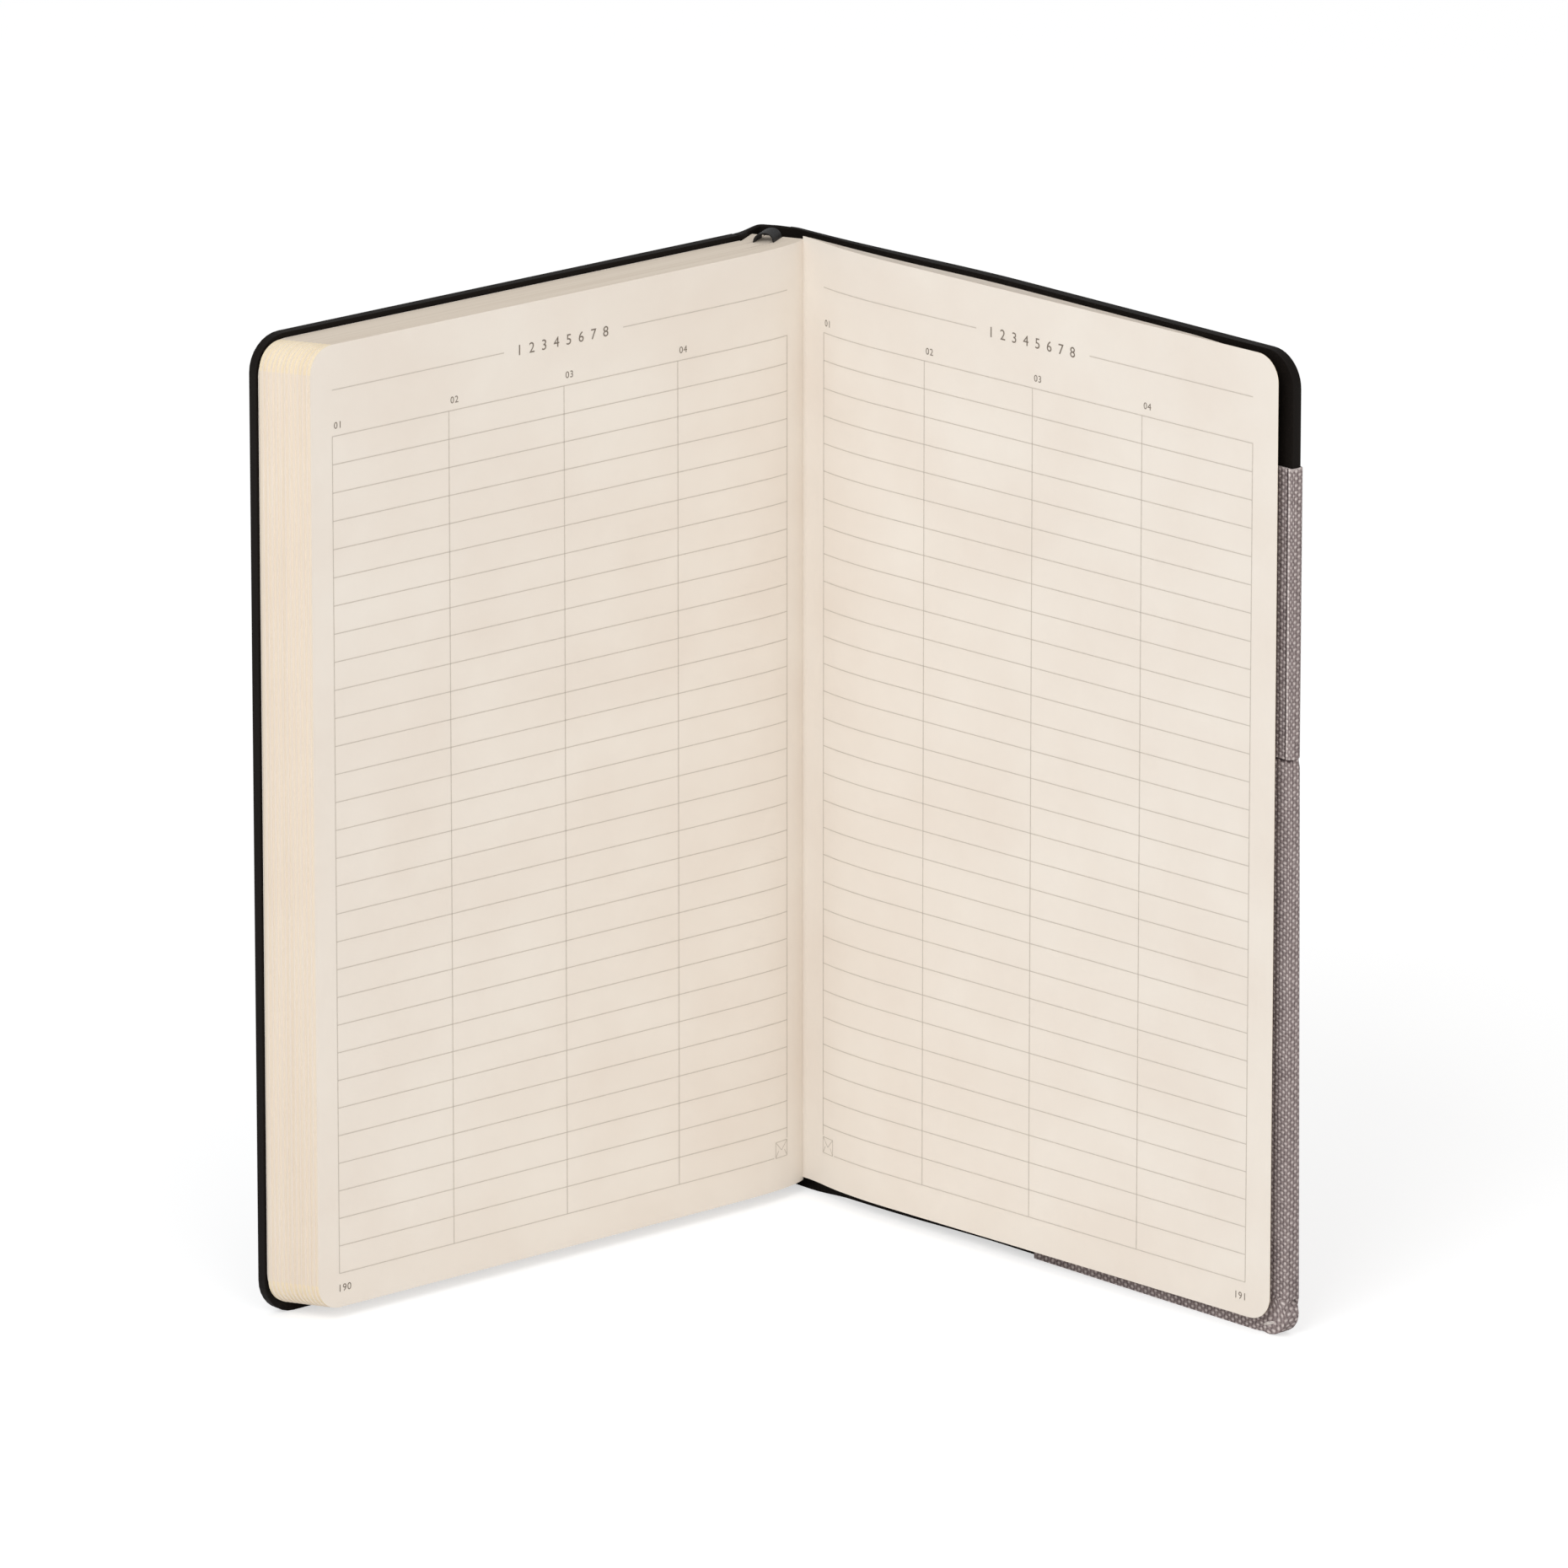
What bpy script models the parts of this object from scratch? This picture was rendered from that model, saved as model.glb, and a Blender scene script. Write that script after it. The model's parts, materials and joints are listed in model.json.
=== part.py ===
# Lined notebook standing open on its tail: a flexible case, a sewn text block, a ribbon
# bookmark and a canvas pocket wrapped round the back cover.
# Every piece is drawn where it lies with the book shut, X across the spine, -Y from the spine
# to the fore-edge, +Z from tail to head. Empties on the hinge lines then open the book.
import math

import bmesh
import bpy

MM = 0.001

# How far the two halves lean away from square to the spine, as the book stands
FRONT_LEAN = 28.75
BACK_LEAN = 65.0

# Case
COVER_HEIGHT = 180 * MM
COVER_DEPTH = 118.6 * MM
COVER_CORNER = 6.5 * MM
SKIN = 0.4 * MM
BOARD = 1.05 * MM
GLUE = 0.05 * MM
TURN_IN = 4 * MM
EDGE_ROUND = 0.3 * MM
BACK_JOINT = 4 * MM
SPINE_EDGE = 0.3 * MM
SPINE_CARD = 0.5 * MM
CARD_MARGIN = 3 * MM
HOLLOW = 1.4 * MM
PASTEDOWN = 0.15 * MM

# Text block
SIGNATURES = 12
LEAVES = 8
LEAF = 0.086 * MM
AIR = 0.04 * MM
FORE_SQUARE = 0.4 * MM
PAGE_CORNER = 6 * MM
HEAD_SQUARE = 0.9 * MM
TAIL_SQUARE = 2.2 * MM
FOLD_DEPTH = 4.8 * MM
FOLD = 0.5 * MM
FOLD_GLUE = 0.4 * MM
CREASE = 0.35 * MM
FLYLEAF = 0.16 * MM
SPINE_CLOTH = 0.2 * MM
CLOTH_MARGIN = 14 * MM
THREAD = 0.3 * MM
THREAD_ROWS = 5
THREAD_MARGIN = 18 * MM
THREAD_SIDES = 8
LAYER_GAP = 0.1 * MM

# Gaps between the loose leaves and the covers, with the book shut
FRONT_FLYLEAF_GAP = 0.16 * MM
FRONT_COVER_GAP = 0.2 * MM
LAST_LEAF_GAP = 0.15 * MM
BACK_FLYLEAF_GAP = 0.15 * MM
BACK_COVER_GAP = 0.2 * MM

# How the last leaf arches off the flyleaf beside the gutter, as the book stands
LEAF_INNER = 18 * MM
LEAF_RISE = 9.75
LEAF_FALL = 1.625

# Ribbon bookmark, looped over the head from one gap between folds to another
RIBBON = 0.2 * MM
RIBBON_WIDTH = 4 * MM
RIBBON_SETBACK = 0.4 * MM
RIBBON_GLUED = 20 * MM
RIBBON_TAIL = 12 * MM
RIBBON_GLUED_AFTER = 8
RIBBON_HANGS_AFTER = 3

# Canvas pocket and the doubled band over its fore-edge
CANVAS = 0.4 * MM
CANVAS_GAP = 0.1 * MM
POCKET_NEAR = 56 * MM
POCKET_BELOW_HEAD = 20.5 * MM
POCKET_TOP = COVER_HEIGHT - POCKET_BELOW_HEAD
POCKET_ROOM = 0.5 * MM
POCKET_SEAM = 4 * MM
POCKET_TURN_IN = 10 * MM
BAND = 0.35 * MM
BAND_HEIGHT = 52.8 * MM
BAND_OUTSIDE = 16 * MM
BAND_INSIDE = 8 * MM
STITCH_LENGTH = 2.6 * MM
STITCH_PITCH = 4 * MM
STITCH_WIDTH = 0.5 * MM
STITCH_RISE = 0.25 * MM
STITCH_RUN = 0.12 * MM
STITCH_GAP = 0.03 * MM
SEAM_INSET = 2 * MM

ARC_STEPS = 8
CUT_REACH = 5 * MM

# Places across the spine, book shut
PITCH = (LEAVES * LEAF + AIR) / math.cos(math.radians(FRONT_LEAN))
HALF_BLOCK = SIGNATURES * PITCH / 2
COVER = 2 * SKIN + BOARD + 2 * GLUE
FRONT_FLYLEAF_X = -HALF_BLOCK - FRONT_FLYLEAF_GAP
FRONT_INSIDE = FRONT_FLYLEAF_X - FLYLEAF / 2 - FRONT_COVER_GAP
LAST_LEAF_X = HALF_BLOCK + LAST_LEAF_GAP
BACK_FLYLEAF_X = LAST_LEAF_X + LEAF / 2 + BACK_FLYLEAF_GAP + FLYLEAF / 2
BAND_INNER_X = BACK_FLYLEAF_X + FLYLEAF / 2 + BACK_COVER_GAP
CANVAS_INNER_X = BAND_INNER_X + BAND + CANVAS_GAP
BACK_INSIDE = CANVAS_INNER_X + CANVAS + CANVAS_GAP
BACK_OUTSIDE = BACK_INSIDE + COVER
CANVAS_OUTER_X = BACK_OUTSIDE + POCKET_ROOM + CANVAS

# Places from the spine towards the fore-edge, and up from the tail
CARD_NEAR = SKIN / 2 + LAYER_GAP
CLOTH_NEAR = CARD_NEAR + SPINE_CARD + HOLLOW
THREAD_NEAR = CLOTH_NEAR + SPINE_CLOTH + LAYER_GAP
FOLD_NEAR = THREAD_NEAR + THREAD + LAYER_GAP
CREASE_DEPTH = FOLD_NEAR + FOLD_DEPTH + CREASE
PAGE_WIDTH = COVER_DEPTH - FORE_SQUARE - FOLD_NEAR
PAGE_FAR = FOLD_NEAR + PAGE_WIDTH
FRONT_NEAR = CREASE_DEPTH + CREASE
FLYLEAF_ROOT = BACK_INSIDE + SKIN / 2 - BAND_INNER_X + FLYLEAF / 2 + BACK_COVER_GAP
LEAF_ROOT = FLYLEAF_ROOT + FLYLEAF / 2 + BACK_FLYLEAF_GAP + LEAF / 2
LEAF_TURN = LEAF_ROOT + LEAF_INNER
PAGE_LOW = TAIL_SQUARE
PAGE_HIGH = COVER_HEIGHT - HEAD_SQUARE
BACK_LOW = CANVAS + CANVAS_GAP
CANVAS_FAR = COVER_DEPTH + CANVAS_GAP + CANVAS
BAND_LOW = POCKET_TOP - BAND_HEIGHT


def clear_scene():
    for old in list(bpy.data.objects):
        bpy.data.objects.remove(old)


def make_collection(name):
    collection = bpy.data.collections.new(name)
    bpy.context.scene.collection.children.link(collection)
    return collection


def make_material(name, color, roughness):
    material = bpy.data.materials.new(name)
    material.use_nodes = True
    shader = material.node_tree.nodes["Principled BSDF"]
    shader.inputs["Base Color"].default_value = (*color, 1.0)
    shader.inputs["Roughness"].default_value = roughness
    shader.inputs["Metallic"].default_value = 0.0
    return material


clear_scene()
NOTEBOOK = make_collection("notebook")
HINGES = make_collection("hinge_lines")
BLACK = make_material("black_soft_cover", (0.022, 0.02, 0.02), 0.55)
GREY_BOARD = make_material("grey_board", (0.3, 0.27, 0.23), 0.9)
CREAM = make_material("cream_paper", (0.82, 0.74, 0.64), 0.85)
WHITE_CLOTH = make_material("white_book_cloth", (0.75, 0.73, 0.7), 0.9)
THREAD_WHITE = make_material("white_thread", (0.8, 0.78, 0.74), 0.8)
RIBBON_GREY = make_material("charcoal_ribbon", (0.05, 0.05, 0.052), 0.45)
CANVAS_GREY = make_material("grey_canvas", (0.3, 0.26, 0.25), 0.95)


def hinge_line(name, parent, x, depth, lean):
    """An empty on an upright hinge line, given as book-shut places, turned by its lean."""
    empty = bpy.data.objects.new(name, None)
    HINGES.objects.link(empty)
    empty["shut"] = (x, -depth)
    shut_x, shut_y = (parent["shut"] if parent else (0.0, 0.0))
    empty.location = (x - shut_x, -depth - shut_y, 0.0)
    empty.rotation_euler = (0.0, 0.0, math.radians(lean))
    empty.parent = parent
    return empty


def place(piece, hinge):
    """Hang a piece, drawn at its book-shut place, on its hinge line."""
    shut_x, shut_y = hinge["shut"]
    piece.location = (-shut_x, -shut_y, 0.0)
    piece.parent = hinge
    return piece


def add_piece(name, mesh, material):
    piece = bpy.data.objects.new(name, mesh)
    mesh.materials.clear()
    mesh.materials.append(material)
    NOTEBOOK.objects.link(piece)
    return piece


def arc(centre, radius, start, end):
    """Points along an arc about a centre, angles in degrees."""
    points = []
    for step in range(ARC_STEPS + 1):
        angle = math.radians(start + (end - start) * step / ARC_STEPS)
        points.append((centre[0] + radius * math.cos(angle), centre[1] + radius * math.sin(angle)))
    return points


def sheet_outline(near, far, low, high, low_corner, high_corner):
    """Depth and height points of an upright sheet, with its two fore-edge corners rounded."""
    outline = [(near, high), (near, low)]
    for corner, height, start in ((low_corner, low + low_corner, -90), (high_corner, high - high_corner, 0)):
        if corner > 0:
            outline += arc((far - corner, height), corner, start, start + 90)
        else:
            outline.append((far, height))
    return outline


def extruded(name, outline, thickness):
    """Mesh of a flat outline with a thickness, from a filled 2D curve, caps welded."""
    curve = bpy.data.curves.new(name, "CURVE")
    curve.dimensions = "2D"
    curve.fill_mode = "BOTH"
    curve.extrude = thickness / 2
    spline = curve.splines.new("POLY")
    spline.points.add(len(outline) - 1)
    for point, (across, up) in zip(spline.points, outline):
        point.co = (across, up, 0.0, 1.0)
    spline.use_cyclic_u = True
    guide = bpy.data.objects.new(name + "_outline", curve)
    bpy.context.scene.collection.objects.link(guide)
    mesh = bpy.data.meshes.new_from_object(guide.evaluated_get(bpy.context.evaluated_depsgraph_get()))
    mesh.name = name
    bpy.data.objects.remove(guide)
    shape = bmesh.new()
    shape.from_mesh(mesh)
    bmesh.ops.remove_doubles(shape, verts=shape.verts, dist=1e-7)
    shape.to_mesh(mesh)
    shape.free()
    return mesh


def move_points(mesh, rule):
    """Send each point of a mesh through a rule, and turn its faces outwards again."""
    shape = bmesh.new()
    shape.from_mesh(mesh)
    for vertex in shape.verts:
        vertex.co = rule(vertex.co)
    bmesh.ops.recalc_face_normals(shape, faces=shape.faces)
    if shape.calc_volume(signed=True) < 0:
        bmesh.ops.reverse_faces(shape, faces=shape.faces)
    shape.to_mesh(mesh)
    shape.free()


def sheet(name, left, right, near, far, low, high, low_corner, high_corner, material):
    """An upright sheet or board, from x left to right, with rounded fore-edge corners."""
    outline = sheet_outline(near, far, low, high, low_corner, high_corner)
    mesh = extruded(name, outline, right - left)
    middle = (left + right) / 2
    move_points(mesh, lambda co: (middle + co.z, -co.x, co.y))
    return add_piece(name, mesh, material)


def block(name, left, right, near, far, low, high, material):
    """A plain rectangular bar, from a cube."""
    mesh = bpy.data.meshes.new(name)
    shape = bmesh.new()
    bmesh.ops.create_cube(shape, size=1.0)
    for vertex in shape.verts:
        vertex.co.x = left if vertex.co.x < 0 else right
        vertex.co.y = -far if vertex.co.y < 0 else -near
        vertex.co.z = low if vertex.co.z < 0 else high
    shape.to_mesh(mesh)
    shape.free()
    return add_piece(name, mesh, material)


def bake(piece):
    """Keep a piece's modifiers in its mesh."""
    mesh = bpy.data.meshes.new_from_object(piece.evaluated_get(bpy.context.evaluated_depsgraph_get()))
    piece.modifiers.clear()
    piece.data = mesh
    return piece


def combine(piece, tool, operation):
    """Cut a piece with a tool, or join the tool to it, and remove the tool."""
    change = piece.modifiers.new(operation.lower(), "BOOLEAN")
    change.operation = operation
    change.object = tool
    bpy.context.view_layer.update()
    bake(piece)
    bpy.data.objects.remove(tool)
    return piece


def round_edges(piece):
    bevel = piece.modifiers.new("soft_edges", "BEVEL")
    bevel.width = EDGE_ROUND
    bevel.segments = 2
    bevel.limit_method = "ANGLE"
    bevel.angle_limit = math.radians(50)
    return bake(piece)


def cover_skin(name, inside, outwards, near, low):
    """The soft skin of one cover: a tray round its board, turned in to a lip on the inside."""
    outside = inside + outwards * COVER

    def slab(part, shallow, deep, margin, corner):
        left, right = sorted((inside + outwards * shallow, inside + outwards * deep))
        return sheet(part, left, right, near + margin, COVER_DEPTH - margin,
                     low + margin, COVER_HEIGHT - margin, corner, corner, BLACK)

    skin = round_edges(slab(name, 0.0, abs(outside - inside), 0.0, COVER_CORNER))
    hollow = slab("board_space", SKIN, SKIN + 2 * GLUE + BOARD, SKIN, COVER_CORNER - SKIN)
    combine(skin, hollow, "DIFFERENCE")
    window = slab("lip_window", -CUT_REACH, SKIN + GLUE, TURN_IN, COVER_CORNER - TURN_IN)
    return combine(skin, window, "DIFFERENCE")


def cover_board(name, inside, outwards, near, low):
    """The grey board inside one cover."""
    left, right = sorted((inside + outwards * (SKIN + GLUE), inside + outwards * (SKIN + GLUE + BOARD)))
    margin = SKIN + GLUE
    return sheet(name, left, right, near + margin, COVER_DEPTH - margin, low + margin,
                 COVER_HEIGHT - margin, COVER_CORNER - margin, COVER_CORNER - margin, GREY_BOARD)


def pastedown(name, inside, outwards, near, low):
    """The endpaper half glued to the board, inside the lip of the skin."""
    margin = TURN_IN + GLUE
    left, right = sorted((inside + outwards * (SKIN - PASTEDOWN), inside + outwards * SKIN))
    return sheet(name, left, right, near + margin, COVER_DEPTH - margin, low + margin,
                 COVER_HEIGHT - margin, COVER_CORNER - margin, COVER_CORNER - margin, CREAM)


def leaf_sheet(name, middle, thickness, near):
    """A leaf or a signature of leaves, from its root to the fore-edge."""
    return sheet(name, middle - thickness / 2, middle + thickness / 2, near, PAGE_FAR,
                 PAGE_LOW, PAGE_HIGH, PAGE_CORNER, PAGE_CORNER, CREAM)


def signature_x(number):
    """Where a signature stands across the spine, counted from the front."""
    return (number - (SIGNATURES + 1) / 2) * PITCH


def build_spine():
    """The spine strip of the skin with the groove at its front joint, its card and its cloth."""
    left = -HALF_BLOCK - SPINE_EDGE
    skin = block("spine_skin", left, BACK_INSIDE + SKIN, -SKIN / 2, SKIN / 2, 0.0, COVER_HEIGHT, BLACK)
    groove = block("front_joint", left, left + SKIN, 0.0, CREASE_DEPTH - CREASE,
                   0.0, COVER_HEIGHT, BLACK)
    combine(skin, groove, "UNION")
    block("spine_card", left + SKIN + GLUE, HALF_BLOCK + SPINE_EDGE - GLUE, CARD_NEAR,
          CARD_NEAR + SPINE_CARD, CARD_MARGIN, COVER_HEIGHT - CARD_MARGIN, GREY_BOARD)
    block("spine_cloth", signature_x(1) - FOLD / 2, signature_x(SIGNATURES) + FOLD / 2, CLOTH_NEAR,
          CLOTH_NEAR + SPINE_CLOTH, CLOTH_MARGIN, COVER_HEIGHT - CLOTH_MARGIN, WHITE_CLOTH)


def build_folds():
    """The folded backs of the signatures, glued side by side, and the threads that sew them."""
    first = signature_x(1)
    folds = block("sewn_folds", first - FOLD / 2, first + FOLD / 2, FOLD_NEAR, FOLD_NEAR + FOLD_DEPTH,
                  PAGE_LOW, PAGE_HIGH, CREAM)
    row = folds.modifiers.new("signatures", "ARRAY")
    row.count = SIGNATURES
    row.use_relative_offset = False
    row.use_constant_offset = True
    row.constant_offset_displace = (PITCH, 0.0, 0.0)
    bake(folds)
    glue = block("back_glue", first, signature_x(SIGNATURES), FOLD_NEAR - GLUE, FOLD_NEAR + FOLD_GLUE,
                 PAGE_LOW - GLUE, PAGE_HIGH + GLUE, CREAM)
    combine(folds, glue, "UNION")
    for number in range(THREAD_ROWS):
        share = number / (THREAD_ROWS - 1)
        mesh = bpy.data.meshes.new("sewing_thread")
        shape = bmesh.new()
        bmesh.ops.create_cone(shape, cap_ends=True, segments=THREAD_SIDES, radius1=THREAD / 2,
                              radius2=THREAD / 2, depth=2 * HALF_BLOCK - PITCH)
        shape.to_mesh(mesh)
        shape.free()
        thread = add_piece(f"sewing_thread_{number + 1}", mesh, THREAD_WHITE)
        thread.rotation_euler = (0.0, math.radians(90), 0.0)
        height = THREAD_MARGIN + share * (COVER_HEIGHT - 2 * THREAD_MARGIN)
        thread.location = (0.0, -THREAD_NEAR - THREAD / 2, height)


def build_ribbon():
    """The bookmark: glued in one gap between folds, over the head, and down another gap."""
    glued_x = signature_x(RIBBON_GLUED_AFTER) + PITCH / 2
    hangs_x = signature_x(RIBBON_HANGS_AFTER) + PITCH / 2
    centre = ((glued_x + hangs_x) / 2, PAGE_HIGH)
    radius = (glued_x - hangs_x) / 2
    outer = arc(centre, radius + RIBBON / 2, 0, 180)
    inner = arc(centre, radius - RIBBON / 2, 180, 0)
    tail = [(hangs_x - RIBBON / 2, RIBBON_TAIL), (hangs_x + RIBBON / 2, RIBBON_TAIL)]
    root_low = PAGE_HIGH - RIBBON_GLUED
    root = [(glued_x - RIBBON / 2, root_low), (glued_x + RIBBON / 2, root_low)]
    mesh = extruded("ribbon_bookmark", outer + tail + inner + root, RIBBON_WIDTH)
    depth = FOLD_NEAR + RIBBON_SETBACK + RIBBON_WIDTH / 2
    move_points(mesh, lambda co: (co.x, -depth + co.z, co.y))
    add_piece("ribbon_bookmark", mesh, RIBBON_GREY)


def build_signatures():
    """The twelve signatures, each on a crease line above its fold. Returns the first crease."""
    first_crease = None
    for number in range(1, SIGNATURES + 1):
        crease = hinge_line(f"crease_{number:02d}", None, signature_x(number), CREASE_DEPTH, -FRONT_LEAN)
        leaves = LEAVES - 1 if number == SIGNATURES else LEAVES
        place(leaf_sheet(f"signature_{number:02d}", signature_x(number), leaves * LEAF, FRONT_NEAR), crease)
        first_crease = first_crease or crease
    return first_crease


def build_front(first_crease):
    """Front cover and front flyleaf, which swing on the first signature."""
    hinge = hinge_line("front_cover_joint", first_crease, FRONT_INSIDE - COVER, FRONT_NEAR, 0.0)
    place(cover_skin("front_cover_skin", FRONT_INSIDE, -1, FRONT_NEAR, 0.0), hinge)
    place(cover_board("front_board", FRONT_INSIDE, -1, FRONT_NEAR, 0.0), hinge)
    place(pastedown("front_pastedown", FRONT_INSIDE, -1, FRONT_NEAR, 0.0), hinge)
    root = hinge_line("front_flyleaf_root", first_crease, FRONT_FLYLEAF_X, FRONT_NEAR, 0.0)
    place(leaf_sheet("front_flyleaf", FRONT_FLYLEAF_X, FLYLEAF, FRONT_NEAR), root)


def stitch_row(name, left, depth, low, high):
    """A seam of upright stitches on a face at x left, joined by the thread that runs under them."""
    count = int((high - low - STITCH_LENGTH) / STITCH_PITCH) + 1
    start = (low + high) / 2 - (count - 1) * STITCH_PITCH / 2
    half = STITCH_WIDTH / 2
    seam = block(name, left, left + STITCH_RISE, depth - half, depth + half,
                 start - STITCH_LENGTH / 2, start + STITCH_LENGTH / 2, THREAD_WHITE)
    row = seam.modifiers.new("stitches", "ARRAY")
    row.count = count
    row.use_relative_offset = False
    row.use_constant_offset = True
    row.constant_offset_displace = (0.0, 0.0, STITCH_PITCH)
    bake(seam)
    run = block("seam_run", left + GLUE, left + GLUE + STITCH_RUN, depth - half / 2, depth + half / 2,
                start, start + (count - 1) * STITCH_PITCH, THREAD_WHITE)
    return combine(seam, run, "UNION")


def pocket_canvas():
    """Canvas pocket on the outside of the back cover, turned in over fore-edge and tail."""
    canvas = sheet("pocket_canvas", CANVAS_INNER_X, CANVAS_OUTER_X, POCKET_NEAR, CANVAS_FAR, 0.0,
                   POCKET_TOP, COVER_CORNER + CANVAS_GAP + CANVAS, 0.0, CANVAS_GREY)
    cover_space = sheet("cover_space", BACK_INSIDE - CANVAS_GAP, BACK_OUTSIDE + CANVAS_GAP,
                        POCKET_NEAR - CUT_REACH, COVER_DEPTH + CANVAS_GAP, CANVAS,
                        POCKET_TOP + CUT_REACH, COVER_CORNER + CANVAS_GAP, 0.0, CANVAS_GREY)
    combine(canvas, cover_space, "DIFFERENCE")
    inner_corner = COVER_CORNER - POCKET_SEAM
    room = sheet("pocket_room", BACK_OUTSIDE, BACK_OUTSIDE + POCKET_ROOM, POCKET_NEAR + POCKET_SEAM,
                 COVER_DEPTH - POCKET_SEAM, BACK_LOW + POCKET_SEAM, POCKET_TOP + CUT_REACH,
                 inner_corner, 0.0, CANVAS_GREY)
    combine(canvas, room, "DIFFERENCE")
    window = sheet("turn_in_window", CANVAS_INNER_X - CUT_REACH, BACK_INSIDE, POCKET_NEAR - CUT_REACH,
                   COVER_DEPTH - POCKET_TURN_IN, BACK_LOW + POCKET_TURN_IN, POCKET_TOP + CUT_REACH,
                   inner_corner, 0.0, CANVAS_GREY)
    return combine(canvas, window, "DIFFERENCE")


def edge_band():
    """A doubled canvas band, folded over the fore-edge at the pocket's mouth."""
    outer = CANVAS_OUTER_X + CANVAS_GAP + BAND
    band = block("edge_band", BAND_INNER_X, outer, COVER_DEPTH - BAND_OUTSIDE,
                 CANVAS_FAR + CANVAS_GAP + BAND, BAND_LOW, POCKET_TOP, CANVAS_GREY)
    canvas_space = block("canvas_space", BAND_INNER_X + BAND, outer - BAND,
                         COVER_DEPTH - BAND_OUTSIDE - CUT_REACH, CANVAS_FAR + CANVAS_GAP,
                         BAND_LOW - CUT_REACH, POCKET_TOP + CUT_REACH, CANVAS_GREY)
    combine(band, canvas_space, "DIFFERENCE")
    window = block("band_window", BAND_INNER_X - CUT_REACH, BAND_INNER_X + BAND,
                   COVER_DEPTH - BAND_OUTSIDE - CUT_REACH, COVER_DEPTH - BAND_INSIDE,
                   BAND_LOW - CUT_REACH, POCKET_TOP + CUT_REACH, CANVAS_GREY)
    return combine(band, window, "DIFFERENCE")


def build_last_leaf():
    """The last leaf, lifted off the flyleaf beside the gutter and turned down again at a bend line."""
    root = hinge_line("last_leaf_root", None, LAST_LEAF_X, LEAF_ROOT, BACK_LEAN - LEAF_RISE)
    inner = block("last_leaf_inner", LAST_LEAF_X - LEAF / 2, LAST_LEAF_X + LEAF / 2, LEAF_ROOT + CREASE,
                  LEAF_TURN - CREASE, PAGE_LOW, PAGE_HIGH, CREAM)
    place(inner, root)
    bend = hinge_line("last_leaf_bend", root, LAST_LEAF_X, LEAF_TURN, LEAF_RISE + LEAF_FALL)
    place(leaf_sheet("last_leaf", LAST_LEAF_X, LEAF, LEAF_TURN + CREASE), bend)


def build_back():
    """Back cover with its pocket, and the two leaves that lie on it."""
    hinge = hinge_line("back_cover_joint", None, BACK_INSIDE + SKIN, -SKIN / 2, BACK_LEAN)
    skin = cover_skin("back_cover_skin", BACK_INSIDE, 1, BACK_JOINT, BACK_LOW)
    joint = block("back_joint", BACK_INSIDE, BACK_INSIDE + SKIN, SKIN, BACK_JOINT + SKIN / 2,
                  BACK_LOW + EDGE_ROUND, COVER_HEIGHT - EDGE_ROUND, BLACK)
    place(combine(skin, joint, "UNION"), hinge)
    place(cover_board("back_board", BACK_INSIDE, 1, BACK_JOINT, BACK_LOW), hinge)
    place(pastedown("back_pastedown", BACK_INSIDE, 1, BACK_JOINT, BACK_LOW), hinge)
    place(pocket_canvas(), hinge)
    place(edge_band(), hinge)
    side_seam = stitch_row("pocket_stitches", CANVAS_OUTER_X + STITCH_GAP, POCKET_NEAR + SEAM_INSET,
                           BACK_LOW + POCKET_SEAM, POCKET_TOP - STITCH_PITCH)
    place(side_seam, hinge)
    band_seam = stitch_row("band_stitches", CANVAS_OUTER_X + CANVAS_GAP + BAND + STITCH_GAP,
                           COVER_DEPTH - BAND_OUTSIDE + SEAM_INSET, BAND_LOW, POCKET_TOP)
    place(band_seam, hinge)
    flyleaf_root = hinge_line("back_flyleaf_root", None, BACK_FLYLEAF_X, FLYLEAF_ROOT, BACK_LEAN)
    place(leaf_sheet("back_flyleaf", BACK_FLYLEAF_X, FLYLEAF, FLYLEAF_ROOT + CREASE), flyleaf_root)
    build_last_leaf()


build_spine()
build_folds()
build_ribbon()
build_front(build_signatures())
build_back()
bpy.context.view_layer.update()
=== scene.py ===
import json
import math
from functools import partial
import bmesh
import bpy
import numpy as np
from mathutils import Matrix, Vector


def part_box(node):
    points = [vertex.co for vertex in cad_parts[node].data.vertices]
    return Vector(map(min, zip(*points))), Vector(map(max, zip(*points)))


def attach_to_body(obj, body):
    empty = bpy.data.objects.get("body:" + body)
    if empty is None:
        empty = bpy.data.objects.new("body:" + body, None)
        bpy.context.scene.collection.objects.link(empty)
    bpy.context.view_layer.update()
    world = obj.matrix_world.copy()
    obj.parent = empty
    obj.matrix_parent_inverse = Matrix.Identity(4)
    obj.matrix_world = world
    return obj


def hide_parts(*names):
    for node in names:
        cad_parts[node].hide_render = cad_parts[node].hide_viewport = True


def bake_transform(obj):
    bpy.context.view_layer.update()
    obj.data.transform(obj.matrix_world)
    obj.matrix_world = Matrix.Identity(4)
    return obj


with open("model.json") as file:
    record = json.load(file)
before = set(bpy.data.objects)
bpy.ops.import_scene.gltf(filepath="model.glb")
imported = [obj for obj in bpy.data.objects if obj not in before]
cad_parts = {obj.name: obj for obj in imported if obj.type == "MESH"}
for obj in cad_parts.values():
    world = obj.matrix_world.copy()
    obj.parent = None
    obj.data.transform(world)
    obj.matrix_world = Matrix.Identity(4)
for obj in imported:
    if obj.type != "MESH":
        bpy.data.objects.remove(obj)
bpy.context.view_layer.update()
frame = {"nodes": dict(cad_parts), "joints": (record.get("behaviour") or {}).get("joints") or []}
nodes = frame["nodes"]
joints = {joint["name"]: joint for joint in frame["joints"]}
mm = 0.001
sharpFrom = math.radians(35)  # faces at a larger angle meet in a sharp edge
print("stage: frame loaded")


def hinge(name):
    return np.array(joints[name]["pos_m"][:2])


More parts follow.
